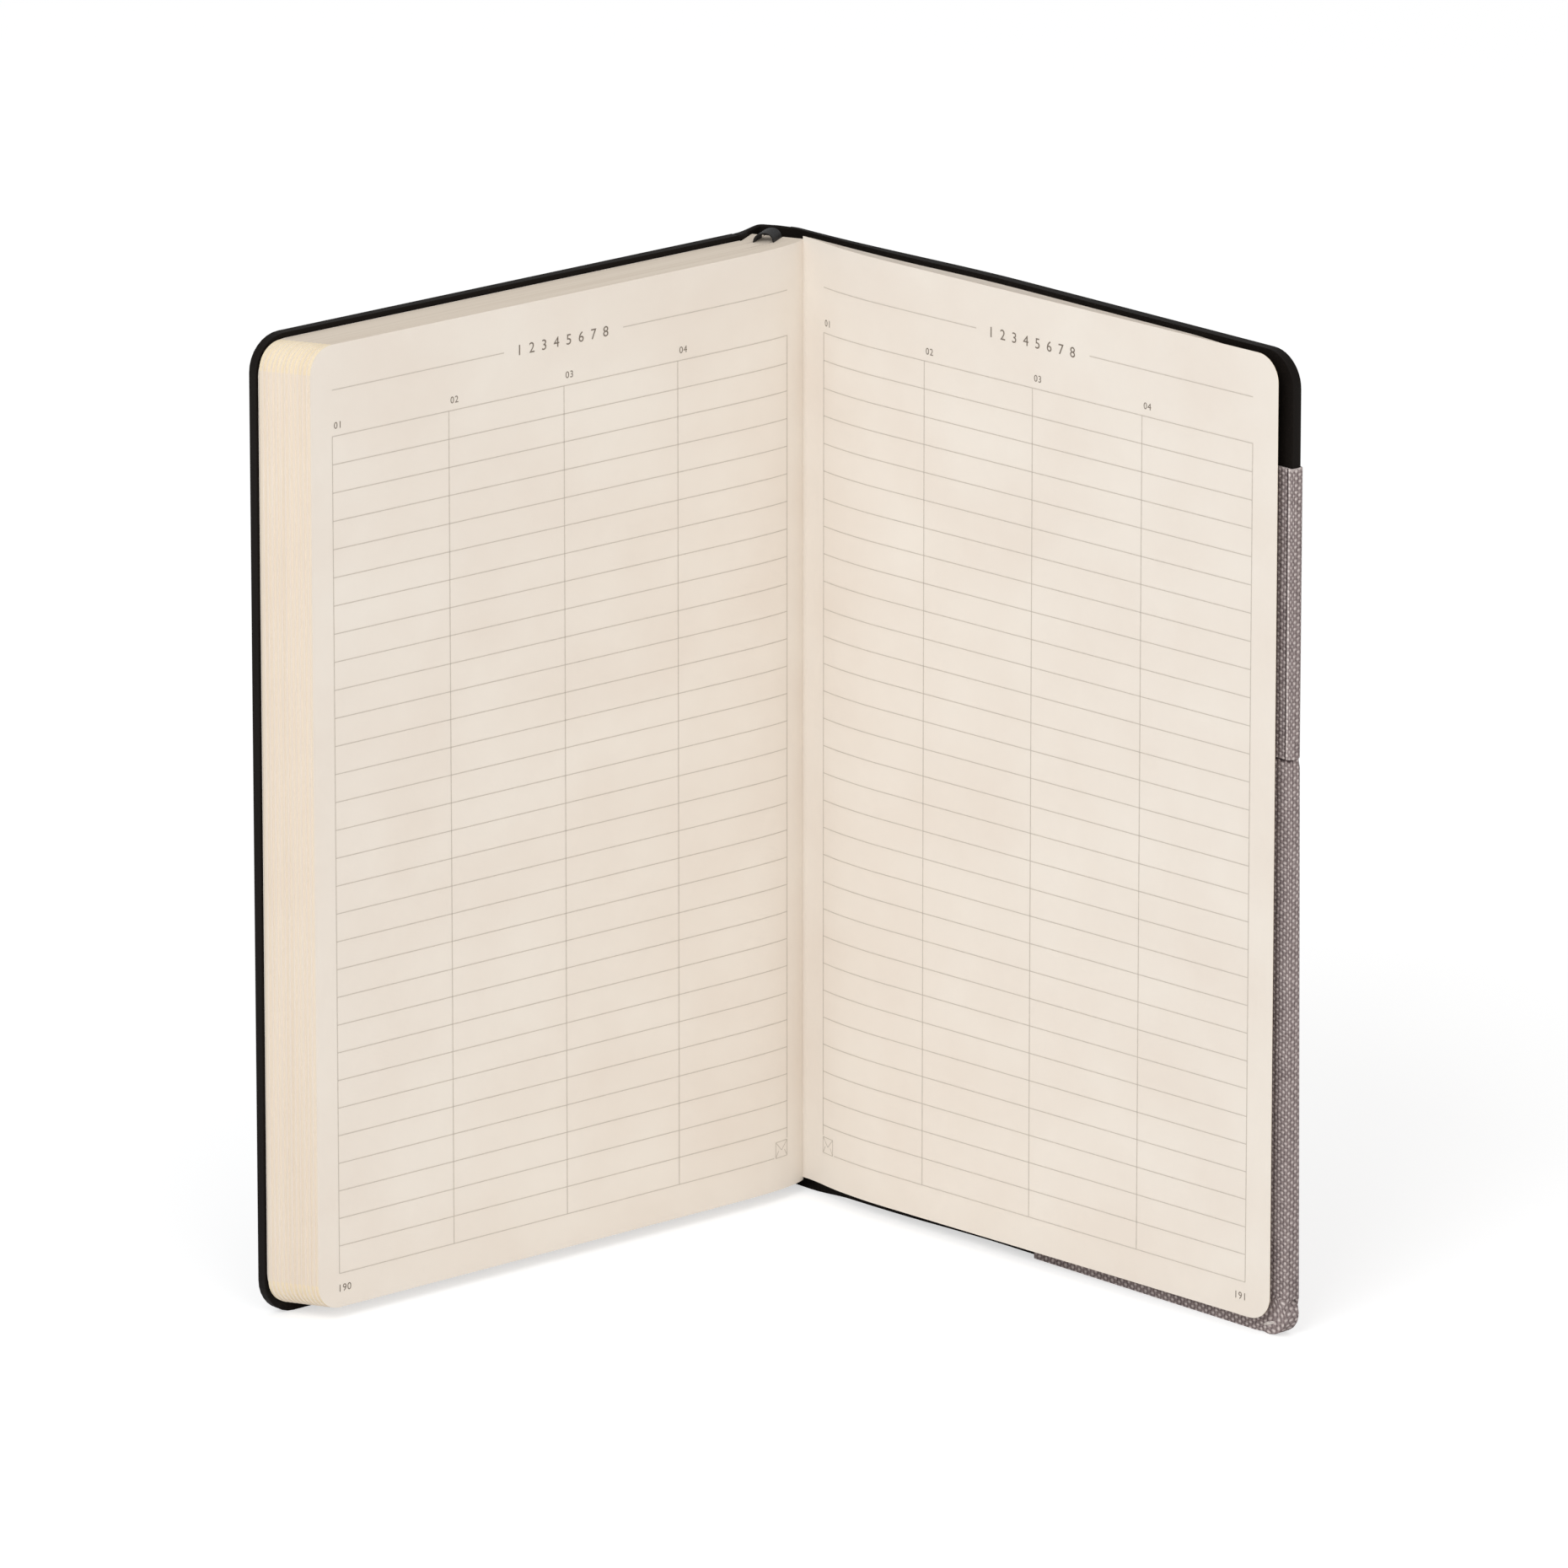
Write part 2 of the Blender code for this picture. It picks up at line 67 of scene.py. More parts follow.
# The book as the frame has it, in metres and radians: hinges in plan, heights, leans and sizes
book = {
    "signatures": 12,
    "threads": 5,
    "frontLean": math.radians(joints["block_lean"]["range_deg"][1]),
    "backLean": math.radians(-joints["back_cover_hinge"]["range_deg"][0]),
    "firstCrease": hinge("block_lean"),
    "lastCrease": hinge("signature_12_lean"),
    "frontHinge": hinge("front_cover_hinge"),
    "backHinge": hinge("back_cover_hinge"),
    "leafRoot": hinge("last_leaf_turn"),
    "leafBend": hinge("last_leaf_bend"),
    "flyleafRoot": hinge("back_flyleaf_turn"),
    "foldDepth": -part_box("sewn_folds")[1].y,
    "spineBack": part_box("spine_skin")[1].y,
    "spineLeft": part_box("spine_skin")[0].x,
    "pageLow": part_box("last_leaf")[0].z,
    "pageHigh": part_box("last_leaf")[1].z,
    "coverHeight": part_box("spine_skin")[1].z,
    "pageCorner": 4.8 * mm,
    "coverCorner": 6.5 * mm,
    "coverThickness": 1.95 * mm,
    "coverDepth": 118.6 * mm,
    "pageFar": 118.2 * mm,
}
pitch = (book["lastCrease"][0] - book["firstCrease"][0]) / (book["signatures"] - 1)
creaseDepth = -book["firstCrease"][1]
leafLength = book["pageFar"] + book["leafRoot"][1]

# Directions in plan: along the leaning front, and along and out of the leaning back cover
frontAlong = np.array([-math.sin(book["frontLean"]), -math.cos(book["frontLean"])])
backAlong = np.array([math.sin(book["backLean"]), -math.cos(book["backLean"])])
backOut = np.array([math.cos(book["backLean"]), math.sin(book["backLean"])])

# The camera looks at the book turned by this angle about its upright axis
viewTurn = math.radians(21.0)


def fromView(x, y, z):
    # A place given as the camera sees it, turned with the view.
    c, s = math.cos(viewTurn), math.sin(viewTurn)
    return (x * c - y * s, x * s + y * c, z)


def smooth(values):
    # Eases from 0 to 1, flat at both ends.
    t = np.clip(values, 0.0, 1.0)
    return t * t * (3 - 2 * t)


def crowded(samples, power):
    # Shares from 0 to 1 that lie closest together at 0.
    return np.linspace(0.0, 1.0, samples) ** power


# Node materials. A finish is roughness and specular level; a relief is strength and depth.

def newMaterial(name):
    material = bpy.data.materials.new(name)
    material.use_nodes = True
    tree = material.node_tree
    shader = tree.nodes["Principled BSDF"]
    return material, tree, shader


def node(tree, kind, **settings):
    made = tree.nodes.new(kind)
    for key, value in settings.items():
        setattr(made, key, value)
    return made


def setInput(tree, made, socket, value):
    if isinstance(value, bpy.types.NodeSocket):
        tree.links.new(value, made.inputs[socket])
    else:
        made.inputs[socket].default_value = value


def maths(tree, operation, a, b=0.0, c=0.0):
    made = node(tree, "ShaderNodeMath", operation=operation)
    for index, value in enumerate((a, b, c)):
        setInput(tree, made, index, value)
    return made.outputs[0]


def placeOn(tree, name="sheetPlace"):
    # Where a point lies on its own sheet, from the piece's attribute.
    return node(tree, "ShaderNodeAttribute", attribute_name=name).outputs["Vector"]


def scaled(tree, vector, scale):
    made = node(tree, "ShaderNodeVectorMath", operation="MULTIPLY")
    setInput(tree, made, 0, vector)
    setInput(tree, made, 1, scale)
    return made.outputs[0]


def texture(tree, kind, output, **settings):
    made = node(tree, "ShaderNodeTex" + kind)
    for socket, value in settings.items():
        setInput(tree, made, socket, value)
    return made.outputs[output]


def noise(tree, vector, scale, detail=3.0, roughness=0.5):
    return texture(tree, "Noise", 0, Vector=vector, Scale=scale, Detail=detail, Roughness=roughness)


def tint(tree, shader, value, *stops):
    # Colours a surface by a value. A stop is a place from 0 to 1 and a colour in linear light.
    made = node(tree, "ShaderNodeValToRGB")
    setInput(tree, made, 0, value)
    elements = made.color_ramp.elements
    while len(elements) < len(stops):
        elements.new(0.5)
    for element, (place, color) in zip(elements, stops):
        element.position = place
        element.color = (*color, 1.0)
    setInput(tree, shader, "Base Color", made.outputs[0])


def bump(tree, shader, height, strength, distance):
    made = node(tree, "ShaderNodeBump")
    for socket, value in {"Height": height, "Strength": strength, "Distance": distance}.items():
        setInput(tree, made, socket, value)
    setInput(tree, shader, "Normal", made.outputs[0])


def finish(shader, roughness, specular):
    shader.inputs["Roughness"].default_value = roughness
    shader.inputs["Specular IOR Level"].default_value = specular


def linear(r, g, b):
    # A screen colour of 0 to 255 as linear light.
    return tuple((x / 255 / 12.92 if x <= 10 else ((x / 255 + 0.055) / 1.055) ** 2.4) for x in (r, g, b))


paperLook = {
    "page": (235, 227, 217),
    "pageShade": (231, 221, 210),
    "edge": ((227, 212, 192), (235, 221, 202), (240, 228, 211)),
    "corner": ((230, 212, 181), (240, 224, 195), (244, 231, 207)),
    "head": ((211, 197, 180), (222, 209, 193), (229, 217, 202)),
    "finish": (0.88, 0.2),
    "edgeFinish": (0.92, 0.15),
    "cloudScale": 55.0,
    "toothScale": 2700.0,
    "toothRelief": (0.06, 0.1 * mm),
    "leafScale": (25.0, 7000.0, 25.0),
    "bunchScale": (12.0, 1100.0, 12.0),
    "leafShare": 0.55,
    "leafRelief": (0.25, 0.2 * mm),
}


def paperMaterial():
    # Faintly clouded, with a fine tooth.
    material, tree, shader = newMaterial("creamPaper")
    place = placeOn(tree)
    cloudy = noise(tree, place, paperLook["cloudScale"], 4.0)
    tint(tree, shader, cloudy, (0.3, linear(*paperLook["pageShade"])), (0.7, linear(*paperLook["page"])))
    finish(shader, *paperLook["finish"])
    tooth = noise(tree, place, paperLook["toothScale"], 2.0)
    bump(tree, shader, tooth, *paperLook["toothRelief"])
    return material


def edgeMaterial(name, kind):
    # Cut edges: fine streaks along the leaves, broader ones along bunches of leaves.
    look = paperLook
    material, tree, shader = newMaterial(name)
    place = placeOn(tree)
    leaves = noise(tree, scaled(tree, place, look["leafScale"]), 1.0, 4.0, 0.7)
    bunches = noise(tree, scaled(tree, place, look["bunchScale"]), 1.0, 2.0)
    fine = maths(tree, "MULTIPLY", leaves, look["leafShare"])
    streak = maths(tree, "MULTIPLY_ADD", bunches, 1 - look["leafShare"], fine)
    tint(tree, shader, streak, *zip((0.3, 0.5, 0.75), [linear(*tone) for tone in look[kind]]))
    finish(shader, *look["edgeFinish"])
    bump(tree, shader, leaves, *look["leafRelief"])
    return material


# For the faces of a slab, its head and tail, its corners and its fore-edge
pageMaterials = [paperMaterial()]
for kind in ("head", "corner", "edge"):
    pageMaterials.append(edgeMaterial("cutPaper" + kind.title(), kind))


# Mesh helpers

def newObject(name, data):
    made = bpy.data.objects.new(name, data)
    bpy.context.scene.collection.objects.link(made)
    return made


def meshPiece(name, points, faces, materials):
    mesh = bpy.data.meshes.new(name)
    mesh.from_pydata(points.tolist(), [], [list(map(int, f)) for f in faces])
    mesh.update()
    for material in materials:
        mesh.materials.append(material)
    mesh.shade_smooth()
    mesh.set_sharp_from_angle(angle=sharpFrom)
    return newObject(name, mesh)


def finishedMesh(thing):
    # An object's mesh as its modifiers or lettering make it.
    return bpy.data.meshes.new_from_object(thing.evaluated_get(bpy.context.evaluated_depsgraph_get()))


def meshPoints(mesh):
    points = np.empty(len(mesh.vertices) * 3, np.float32)
    mesh.vertices.foreach_get("co", points)
    return points.reshape(-1, 3).astype(float)


def setPlace(piece, values, name="sheetPlace"):
    attribute = piece.data.attributes.new(name, "FLOAT_VECTOR", "POINT")
    attribute.data.foreach_set("vector", np.asarray(values, np.float32).ravel())


def pathFrame(points):
    # The length along a plan path at each point, and the way to its left side.
    tangents = np.gradient(points, axis=0)
    tangents /= np.linalg.norm(tangents, axis=1)[:, None]
    steps = np.linalg.norm(np.diff(points, axis=0), axis=1)
    lengths = np.concatenate([[0.0], np.cumsum(steps)])
    normals = np.stack([-tangents[:, 1], tangents[:, 0]], axis=1)
    return lengths, normals


def readAt(places, lengths, values):
    # A path's values, read off at other places along it.
    return np.interp(places, lengths, np.broadcast_to(values, lengths.shape))


def besidePath(path, places, offset):
    # Plan points at places along a path, each moved sideways by its offset.
    lengths, normals = pathFrame(path)
    x, y, sideX, sideY = (readAt(places, lengths, values) for values in (*path.T, *normals.T))
    return np.column_stack([x + sideX * offset, y + sideY * offset])


def cornerColumns(length, corner, straight):
    # Places along a sheet, with the last stretch shared out evenly round its corner.
    if not corner:
        return straight
    angles = np.radians(np.linspace(0, 90, 12))
    bend = length - corner + corner * np.sin(angles)
    return np.concatenate([straight[straight < length - corner - 1e-6], bend])


def cornerRise(columns, length, corner):
    # How far a quarter circle has drawn in the head or tail at each place.
    if not corner:
        return np.zeros(len(columns))
    inside = np.clip((columns - (length - corner)) / corner, 0.0, 1.0)
    return corner * (1 - np.sqrt(np.clip(1 - inside ** 2, 0.0, 1.0)))


def slabPiece(name, path, left, right, low, high, corner, acrossStart, materials):
    # A bent slab: a plan path swept upright, with rounded fore-edge corners.
    lengths, _ = pathFrame(path)
    columns = cornerColumns(lengths[-1], corner, lengths)
    n = len(columns)
    rise = cornerRise(columns, lengths[-1], corner)
    heights = readAt(columns, lengths, low) + rise, readAt(columns, lengths, high) - rise
    points, places = [], []
    for offset in (readAt(columns, lengths, left), readAt(columns, lengths, right)):
        face = besidePath(path, columns, offset)
        for z in heights:
            points.append(np.column_stack([face, z]))
            places.append(np.column_stack([columns, acrossStart + offset, z]))
    i = np.arange(n - 1)
    a, b, c, d = i, n + i, 2 * n + i, 3 * n + i
    around = [(a, b, b + 1, a + 1), (c, c + 1, d + 1, d), (a, a + 1, c + 1, c), (b, d, d + 1, b + 1)]
    ends = [[0, 2 * n, 3 * n, n], [n - 1, 2 * n - 1, 4 * n - 1, 3 * n - 1]]
    faces = np.concatenate([np.column_stack(corners) for corners in around] + [ends])
    piece = meshPiece(name, np.concatenate(points), faces, materials)
    edgeKind = np.where(columns[:-1] < lengths[-1] - corner - 1e-6, 1, 2)
    index = np.concatenate([np.zeros(2 * n - 2), edgeKind, edgeKind, [1, 3]]).astype(np.int32)
    piece.data.polygons.foreach_set("material_index", index)
    setPlace(piece, np.concatenate(places))
    return piece


# Text block on the front cover: twelve signatures that bend as they leave the spine

blockLook = {
    "slack": 0.004 * mm,
    "raggedness": 0.02 * mm,
    "ribbonRoom": 0.12 * mm,
    "ribbonReach": 7 * mm,
    "ribbonAfter": (3, 7),
    "bendEnd": 14 * mm,
    "crowding": 2.2,
    "seed": 11,
}


def bendRun(length, reach, samples):
    # A path from the origin down -Y that turns to the front lean within about the reach.
    s = crowded(samples, blockLook["crowding"]) * length
    angle = book["frontLean"] * (1 - np.exp(-s / reach))
    step = np.diff(s)[:, None]
    way = np.stack([-np.sin(angle), -np.cos(angle)], axis=1)
    moves = (way[1:] + way[:-1]) / 2 * step
    return np.concatenate([[[0.0, 0.0]], np.cumsum(moves, axis=0)])


def leavesRun(openness, samples=90):
    # A signature from its fold: a sharp crease at openness 0, a soft bend at 1, ending at the same place.
    crease = np.array([0.0, book["foldDepth"] - creaseDepth])
    far = crease + (book["pageFar"] - creaseDepth) * frontAlong
    normal = np.array([-frontAlong[1], frontAlong[0]])
    unit = bendRun(length=60.0, reach=1.0, samples=600)[-1] @ normal
    soft = bendRun(book["pageFar"], crease @ normal / unit, samples)
    along = crowded(samples, blockLook["crowding"]) * (far @ frontAlong)
    softPath = np.stack([np.interp(along, soft @ frontAlong, soft[:, i]) for i in (0, 1)], axis=1)
    bend = crease @ frontAlong
    sharp = np.where((along < bend)[:, None], along[:, None] / bend * crease,
                     crease + (along - bend)[:, None] * frontAlong)
    return sharp + openness * (softPath - sharp), softPath - sharp


def foldAt(number):
    return np.array([book["firstCrease"][0] + (number - 1) * pitch, -book["foldDepth"]])


def signatureSlab(number):
    # Plan path and half thicknesses of one signature: a softer bend presses its leaves tighter.
    openness = (number - 1) / (book["signatures"] - 1)
    run, shift = leavesRun(openness)
    path = run + foldAt(number)
    lengths, normals = pathFrame(path)
    squeeze = np.linalg.norm(shift, axis=1) / (book["signatures"] - 1)
    half = (pitch - blockLook["slack"]) / 2 * np.abs(normals[:, 0]) - squeeze / 2
    room = blockLook["ribbonRoom"] * (1 - smooth(lengths / blockLook["ribbonReach"] - 1))
    left = half - room * (number - 1 in blockLook["ribbonAfter"])
    right = half - room * (number in blockLook["ribbonAfter"])
    return path, left, right


def blendLeaves(piece):
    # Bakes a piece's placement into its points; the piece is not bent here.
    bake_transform(piece)


def buildBlock():
    rng = np.random.default_rng(blockLook["seed"])
    for number in range(1, book["signatures"] + 1):
        path, left, right = signatureSlab(number)
        path[-1] += frontAlong * rng.uniform(-1, 1) * blockLook["raggedness"]
        piece = slabPiece(f"leaves_{number:02d}", path, -left, right, book["pageLow"], book["pageHigh"],
                          book["pageCorner"], number * pitch, pageMaterials)
        blendLeaves(piece)
        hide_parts(f"signature_{number:02d}")
        if number == 1:
            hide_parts("sewn_folds")


buildBlock()
print("stage: text block")

# Back cover in plan: how far its outer face stands out of the hinge line, and how thick it is

caseLook = {
    "spineThickness": 0.9 * mm,
    "spineBow": 0.2 * mm,
    "spineOut": 1.2 * mm,
    "leftBend": 1.4 * mm,
    "rightBend": 1.15 * mm,
    "jointThickness": 1.0 * mm,
    "jointOut": -1.0 * mm,
    "coverOut": 1.55 * mm,
    "rampReach": 50 * mm,
    "thinReach": 4 * mm,
    "thickReach": 30 * mm,
    "tailGap": 0.5 * mm,
    "tailReach": 10 * mm,
    "edgeRound": 0.3 * mm,
    "foreTrim": 0.3 * mm,
    "grooveEase": 2.5 * mm,
    "groovePull": 0.25,
    "grooveBend": 0.8 * mm,
    "denseTo": 48 * mm,
    "sparseFrom": 54 * mm,
    "bendColumns": 6,
}
spinePlane = book["spineBack"] + caseLook["spineOut"]
caseFar = book["coverDepth"] + book["spineBack"] - caseLook["foreTrim"]

# The right bend: where the spine's plane meets the back cover's outer face
bendU = (spinePlane - book["backHinge"][1] - caseLook["jointOut"] * backOut[1]) / backAlong[1]
bendAt = book["backHinge"] + bendU * backAlong + caseLook["jointOut"] * backOut
spineRight = bendAt[0] - caseLook["rightBend"]


def coverOut(u):
    # How far the outer face stands out of the hinge line at u along the cover.
    look = caseLook
    return look["jointOut"] + (look["coverOut"] - look["jointOut"]) * smooth(u / look["rampReach"])


def coverThickness(u):
    # Thin at the spine, a little thicker through the joint, then up to the board's thickness.
    look = caseLook
    toJoint = (look["jointThickness"] - look["spineThickness"]) * smooth(u / look["thinReach"] + 1)
    toBoard = (book["coverThickness"] - look["jointThickness"]) * smooth(u / look["thickReach"])
    return look["spineThickness"] + toJoint + toBoard


# Last leaf and flyleaf: the leaf arches up from the gutter and settles at its fore-edge

leafLook = {
    "thickness": 0.1 * mm,
    "start": 0.5 * mm,
    "crowding": 1.6,
    "pattern": 20 * mm,
    "gutter": 1.4 * mm,
    "gutterFade": 5 * mm,
    "crown": 0.35 * mm,
    "settle": 0.2 * mm,
    "settleReach": 70 * mm,
    "arch": 0.55 * mm,
    "archAt": 9.5 * mm,
    "archReach": 6 * mm,
    "rise": 0.6 * mm,
    "reachOut": 1.3 * mm,
    "bendReach": 7 * mm,
    "flyleafStart": 0.3 * mm,
    "flyleafGap": 0.2 * mm,
    "flyleafShort": 0.6 * mm,
    "flyleafPattern": 30 * mm,
    "overBand": 0.95 * mm,
    "bandReach": 14 * mm,
    "bandLead": 1.6,
}


def leafPath():
    # The CAD leaf's two flats, rounded at their bend line and drawn up to the facing page in the gutter.
    look = leafLook
    bend = book["leafBend"] - book["leafRoot"]
    bendAlong, bendLift = bend @ backAlong, -(bend @ backOut)
    shut = -joints["last_leaf_turn"]["range_deg"][0] - joints["last_leaf_bend"]["range_deg"][0]
    fall = math.tan(math.radians(shut) - book["backLean"])
    u = look["start"] + crowded(70, look["crowding"]) * (leafLength + look["reachOut"] - look["start"])
    rising = u * bendLift / bendAlong
    falling = bendLift - (u - bendAlong) * fall
    lift = -look["crown"] * np.logaddexp(-rising / look["crown"], -falling / look["crown"])
    lift = lift + look["gutter"] * np.exp(-u / look["gutterFade"])
    lift = lift + look["arch"] * np.exp(-((u - look["archAt"]) / look["archReach"]) ** 2)
    lift = lift - look["settle"] * smooth((u - bendAlong) / look["settleReach"])
    return book["leafRoot"] + u[:, None] * backAlong - lift[:, None] * backOut


def flyleafPath():
    # Along the inside of the cover, then up over the cloth at the fore-edge.
    look = leafLook
    far = leafLength - look["flyleafShort"]
    u = np.linspace(look["flyleafStart"], far, 60)
    start = (book["flyleafRoot"] - book["backHinge"]) @ backAlong
    out = coverOut(u + start) - coverThickness(u + start) - look["flyleafGap"]
    out = out - look["overBand"] * smooth((u - far) / look["bandReach"] + look["bandLead"])
    place = book["backHinge"] + start * backAlong
    return place + u[:, None] * backAlong + out[:, None] * backOut


def blendLastLeaf(piece):
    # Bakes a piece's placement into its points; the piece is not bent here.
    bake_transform(piece)


def buildBackLeaves():
    look, corner = leafLook, book["pageCorner"]
    low, high, half = book["pageLow"], book["pageHigh"], look["thickness"] / 2
    page = slabPiece("right_page", leafPath(), -half, half, low + look["rise"], high + look["rise"],
                     corner, look["pattern"], pageMaterials)
    blendLastLeaf(page)
    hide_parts("last_leaf_inner", "last_leaf")
    flyleaf = slabPiece("end_leaf", flyleafPath(), -half, half, low, high,
                        corner, look["flyleafPattern"], pageMaterials)
    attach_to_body(flyleaf, "back_flyleaf")
    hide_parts("back_flyleaf")


buildBackLeaves()
print("stage: back leaves")

# Print: ruled rows, columns, numerals and a small envelope on both pages

printLook = {
    "line": 0.17 * mm,
    "fineLine": 0.15 * mm,
    "rows": 31,
    "rowPitch": 5.133 * mm,
    "firstRow": 162.5 * mm,
    "columns": 4,
    "headRule": 170.9 * mm,
    "titleGap": (0.37, 0.63),
    "left": {"margin": 4.8 * mm, "columnWidth": 26.2 * mm, "rise": 0.0, "number": "190"},
    "right": {"margin": 5.9 * mm, "columnWidth": 26.4 * mm, "rise": leafLook["rise"], "number": "191"},
    "title": {"text": "1 2 3 4 5 6 7 8", "height": 2.0 * mm, "drop": 1.0 * mm, "spacing": 1.25},
    "heading": {"height": 1.3 * mm, "rise": 1.3 * mm, "inset": 0.4 * mm, "spacing": 1.1},
    "pageNumber": {"height": 1.4 * mm, "drop": 3.4 * mm, "spacing": 1.1},
    "numeralShare": 0.73,
    "envelope": {"size": 3.0 * mm, "drop": 0.1 * mm, "middle": 1.3 * mm},
    "envelopeRoom": (3.4 * mm, 3.2 * mm),
    "ink": (198, 189, 178),
    "letterInk": (122, 112, 102),
    "inkSpread": 1.12,
    "inkScale": 1500.0,
    "inkFinish": (0.85, 0.15),
    "lift": 0.03 * mm,
}


def inkMaterial(name, color):
    # Ink that has taken unevenly on the paper.
    material, tree, shader = newMaterial(name)
    spread = noise(tree, placeOn(tree), printLook["inkScale"], 2.0)
    light = tuple(min(1.0, x * printLook["inkSpread"]) for x in linear(*color))
    tint(tree, shader, spread, (0.3, linear(*color)), (0.75, light))
    finish(shader, *printLook["inkFinish"])
    return material


ruleInk = inkMaterial("ruleInk", printLook["ink"])
letterInk = inkMaterial("letterInk", printLook["letterInk"])


def flatLine(a, b, width, steps=3):
    # Two rows of page points along a printed line, and the faces between them.
    a, b = np.array([a, b])
    way = (b - a) / np.linalg.norm(b - a)
    side = np.array([-way[1], way[0]]) * width / 2
    run = a + np.linspace(0, 1, steps)[:, None] * (b - a)
    points = np.concatenate([run - side, run + side])
    i = np.arange(steps - 1)
    return points, np.column_stack([i, i + 1, i + 1 + steps, i + steps])


def numerals(text, height, spacing):
    # Flat points and faces of a line of numerals, from its lower left corner.
    lettering = bpy.data.curves.new("numerals", "FONT")
    lettering.body = text
    lettering.size = height / printLook["numeralShare"]
    lettering.space_character = spacing
    lettering.resolution_u = 3
    guide = newObject("numerals", lettering)
    mesh = finishedMesh(guide)
    points = meshPoints(mesh)[:, :2]
    faces = [list(p.vertices) for p in mesh.polygons]
    bpy.data.objects.remove(guide)
    bpy.data.meshes.remove(mesh)
    return points - [points[:, 0].min(), 0.0], faces


def pageDrawing(outerSign, page):
    # Page points run from the fore-edge inwards and up from the tail; outerSign mirrors reading order.
    look = printLook
    lines, letters = [], []
    columnWidth = page["columnWidth"]
    width = look["columns"] * columnWidth
    low = look["firstRow"] - (look["rows"] - 1) * look["rowPitch"]
    outer, inner = page["margin"], page["margin"] + width
    roomAcross, roomUp = look["envelopeRoom"]
    for row in range(look["rows"]):
        z = look["firstRow"] - row * look["rowPitch"]
        end = inner - (roomAcross if row == look["rows"] - 1 else 0.0)
        lines.append(flatLine((outer, z), (end, z), look["line"], 150))
    for column in range(look["columns"] + 1):
        u = outer + column * columnWidth
        bottom = low + (roomUp if column == look["columns"] else 0.0)
        lines.append(flatLine((u, bottom), (u, look["firstRow"]), look["line"], 2))
    for share in ((0.0, look["titleGap"][0]), (look["titleGap"][1], 1.0)):
        ends = [(outer + width * s, look["headRule"]) for s in share]
        lines.append(flatLine(*ends, look["line"], 60))

    # The envelope: its frame, its flap and its two lower folds
    envelope = look["envelope"]
    left, right, bottom = inner - envelope["size"], inner, low - envelope["drop"]
    top = bottom + envelope["size"]
    middle = ((left + right) / 2, bottom + envelope["middle"])
    corners = [(left, bottom), (right, bottom), (right, top), (left, top), (left, bottom)]
    strokes = list(zip(corners, corners[1:])) + [((left, top), middle), (middle, (right, top))]
    strokes += [((side, bottom), ((side + middle[0]) / 2, middle[1])) for side in (left, right)]
    lines += [flatLine(a, b, look["fineLine"]) for a, b in strokes]

    def write(text, style, start, z, anchor=0.0):
        # Anchor 0 begins the numerals at the start, 0.5 centres them there and 1 ends them there.
        points, faces = numerals(text, style["height"], style["spacing"])
        u = start + outerSign * (points[:, 0] - anchor * points[:, 0].max())
        letters.append((np.column_stack([u, z + points[:, 1]]), faces))

    title, heading, number = look["title"], look["heading"], look["pageNumber"]
    write(title["text"], title, outer + width / 2, look["headRule"] - title["drop"], 0.5)
    for column in range(look["columns"]):
        count = column + 1 if outerSign > 0 else look["columns"] - column
        u = outer + column * columnWidth + (0.0 if outerSign > 0 else columnWidth)
        write(f"{count:02d}", heading, u + outerSign * heading["inset"], look["firstRow"] + heading["rise"])
    write(page["number"], number, outer, low - number["drop"], 0.0 if outerSign > 0 else 1.0)
    return lines, letters


def printOn(name, path, faceOffset, outerSign, page, attach):
    # Lays a page's drawing on a sheet, measured along the sheet from its fore-edge.
    lengths, _ = pathFrame(path)
    groups = pageDrawing(outerSign, page)
    for kind, shapes, ink in (("rules", groups[0], ruleInk), ("numerals", groups[1], letterInk)):
        flat, faces, count = [], [], 0
        for points, polygons in shapes:
            flat.append(points)
            faces += [[v + count for v in polygon] for polygon in polygons]
            count += len(points)
        flat = np.concatenate(flat)
        along = lengths[-1] - flat[:, 0]
        plan = besidePath(path, along, readAt(along, lengths, faceOffset))
        piece = meshPiece(f"{name}_{kind}", np.column_stack([plan, flat[:, 1] + page["rise"]]), faces, [ink])
        setPlace(piece, np.column_stack([flat, np.zeros(len(flat))]))
        attach(piece)


topPath, _, topRight = signatureSlab(book["signatures"])
printOn("left_page", topPath, topRight + printLook["lift"], 1, printLook["left"],
        lambda piece: blendLeaves(piece))
printOn("right_page", leafPath(), -leafLook["thickness"] / 2 - printLook["lift"], -1, printLook["right"],
        blendLastLeaf)
print("stage: print")

# Case: soft black skin over the spine and the boards

skinLook = {
    "color": (0.0075, 0.0057, 0.0047),
    "lighter": 1.35,
    "cloudScale": 60.0,
    "roughness": 0.6,
    "spread": 0.16,
    "specular": 0.08,
    "grainScale": 1700.0,
    "grainRelief": (0.22, 0.15 * mm),
}


def skinMaterial():
    # Soft coated skin: a fine pebbled grain, a little duller and paler in clouds.
    look = skinLook
    material, tree, shader = newMaterial("softBlackSkin")
    place = node(tree, "ShaderNodeTexCoord").outputs["Object"]
    grain = texture(tree, "Voronoi", "Distance", Vector=place, Scale=look["grainScale"])
    cloud = noise(tree, place, look["cloudScale"], 3.0)
    paler = tuple(x * look["lighter"] for x in look["color"])
    tint(tree, shader, cloud, (0.3, look["color"]), (0.75, paler))
    dullness = maths(tree, "MULTIPLY_ADD", cloud, look["spread"], look["roughness"] - look["spread"] / 2)
    setInput(tree, shader, "Roughness", dullness)
    setInput(tree, shader, "Specular IOR Level", look["specular"])
    bump(tree, shader, grain, *look["grainRelief"])
    return material


skin = skinMaterial()


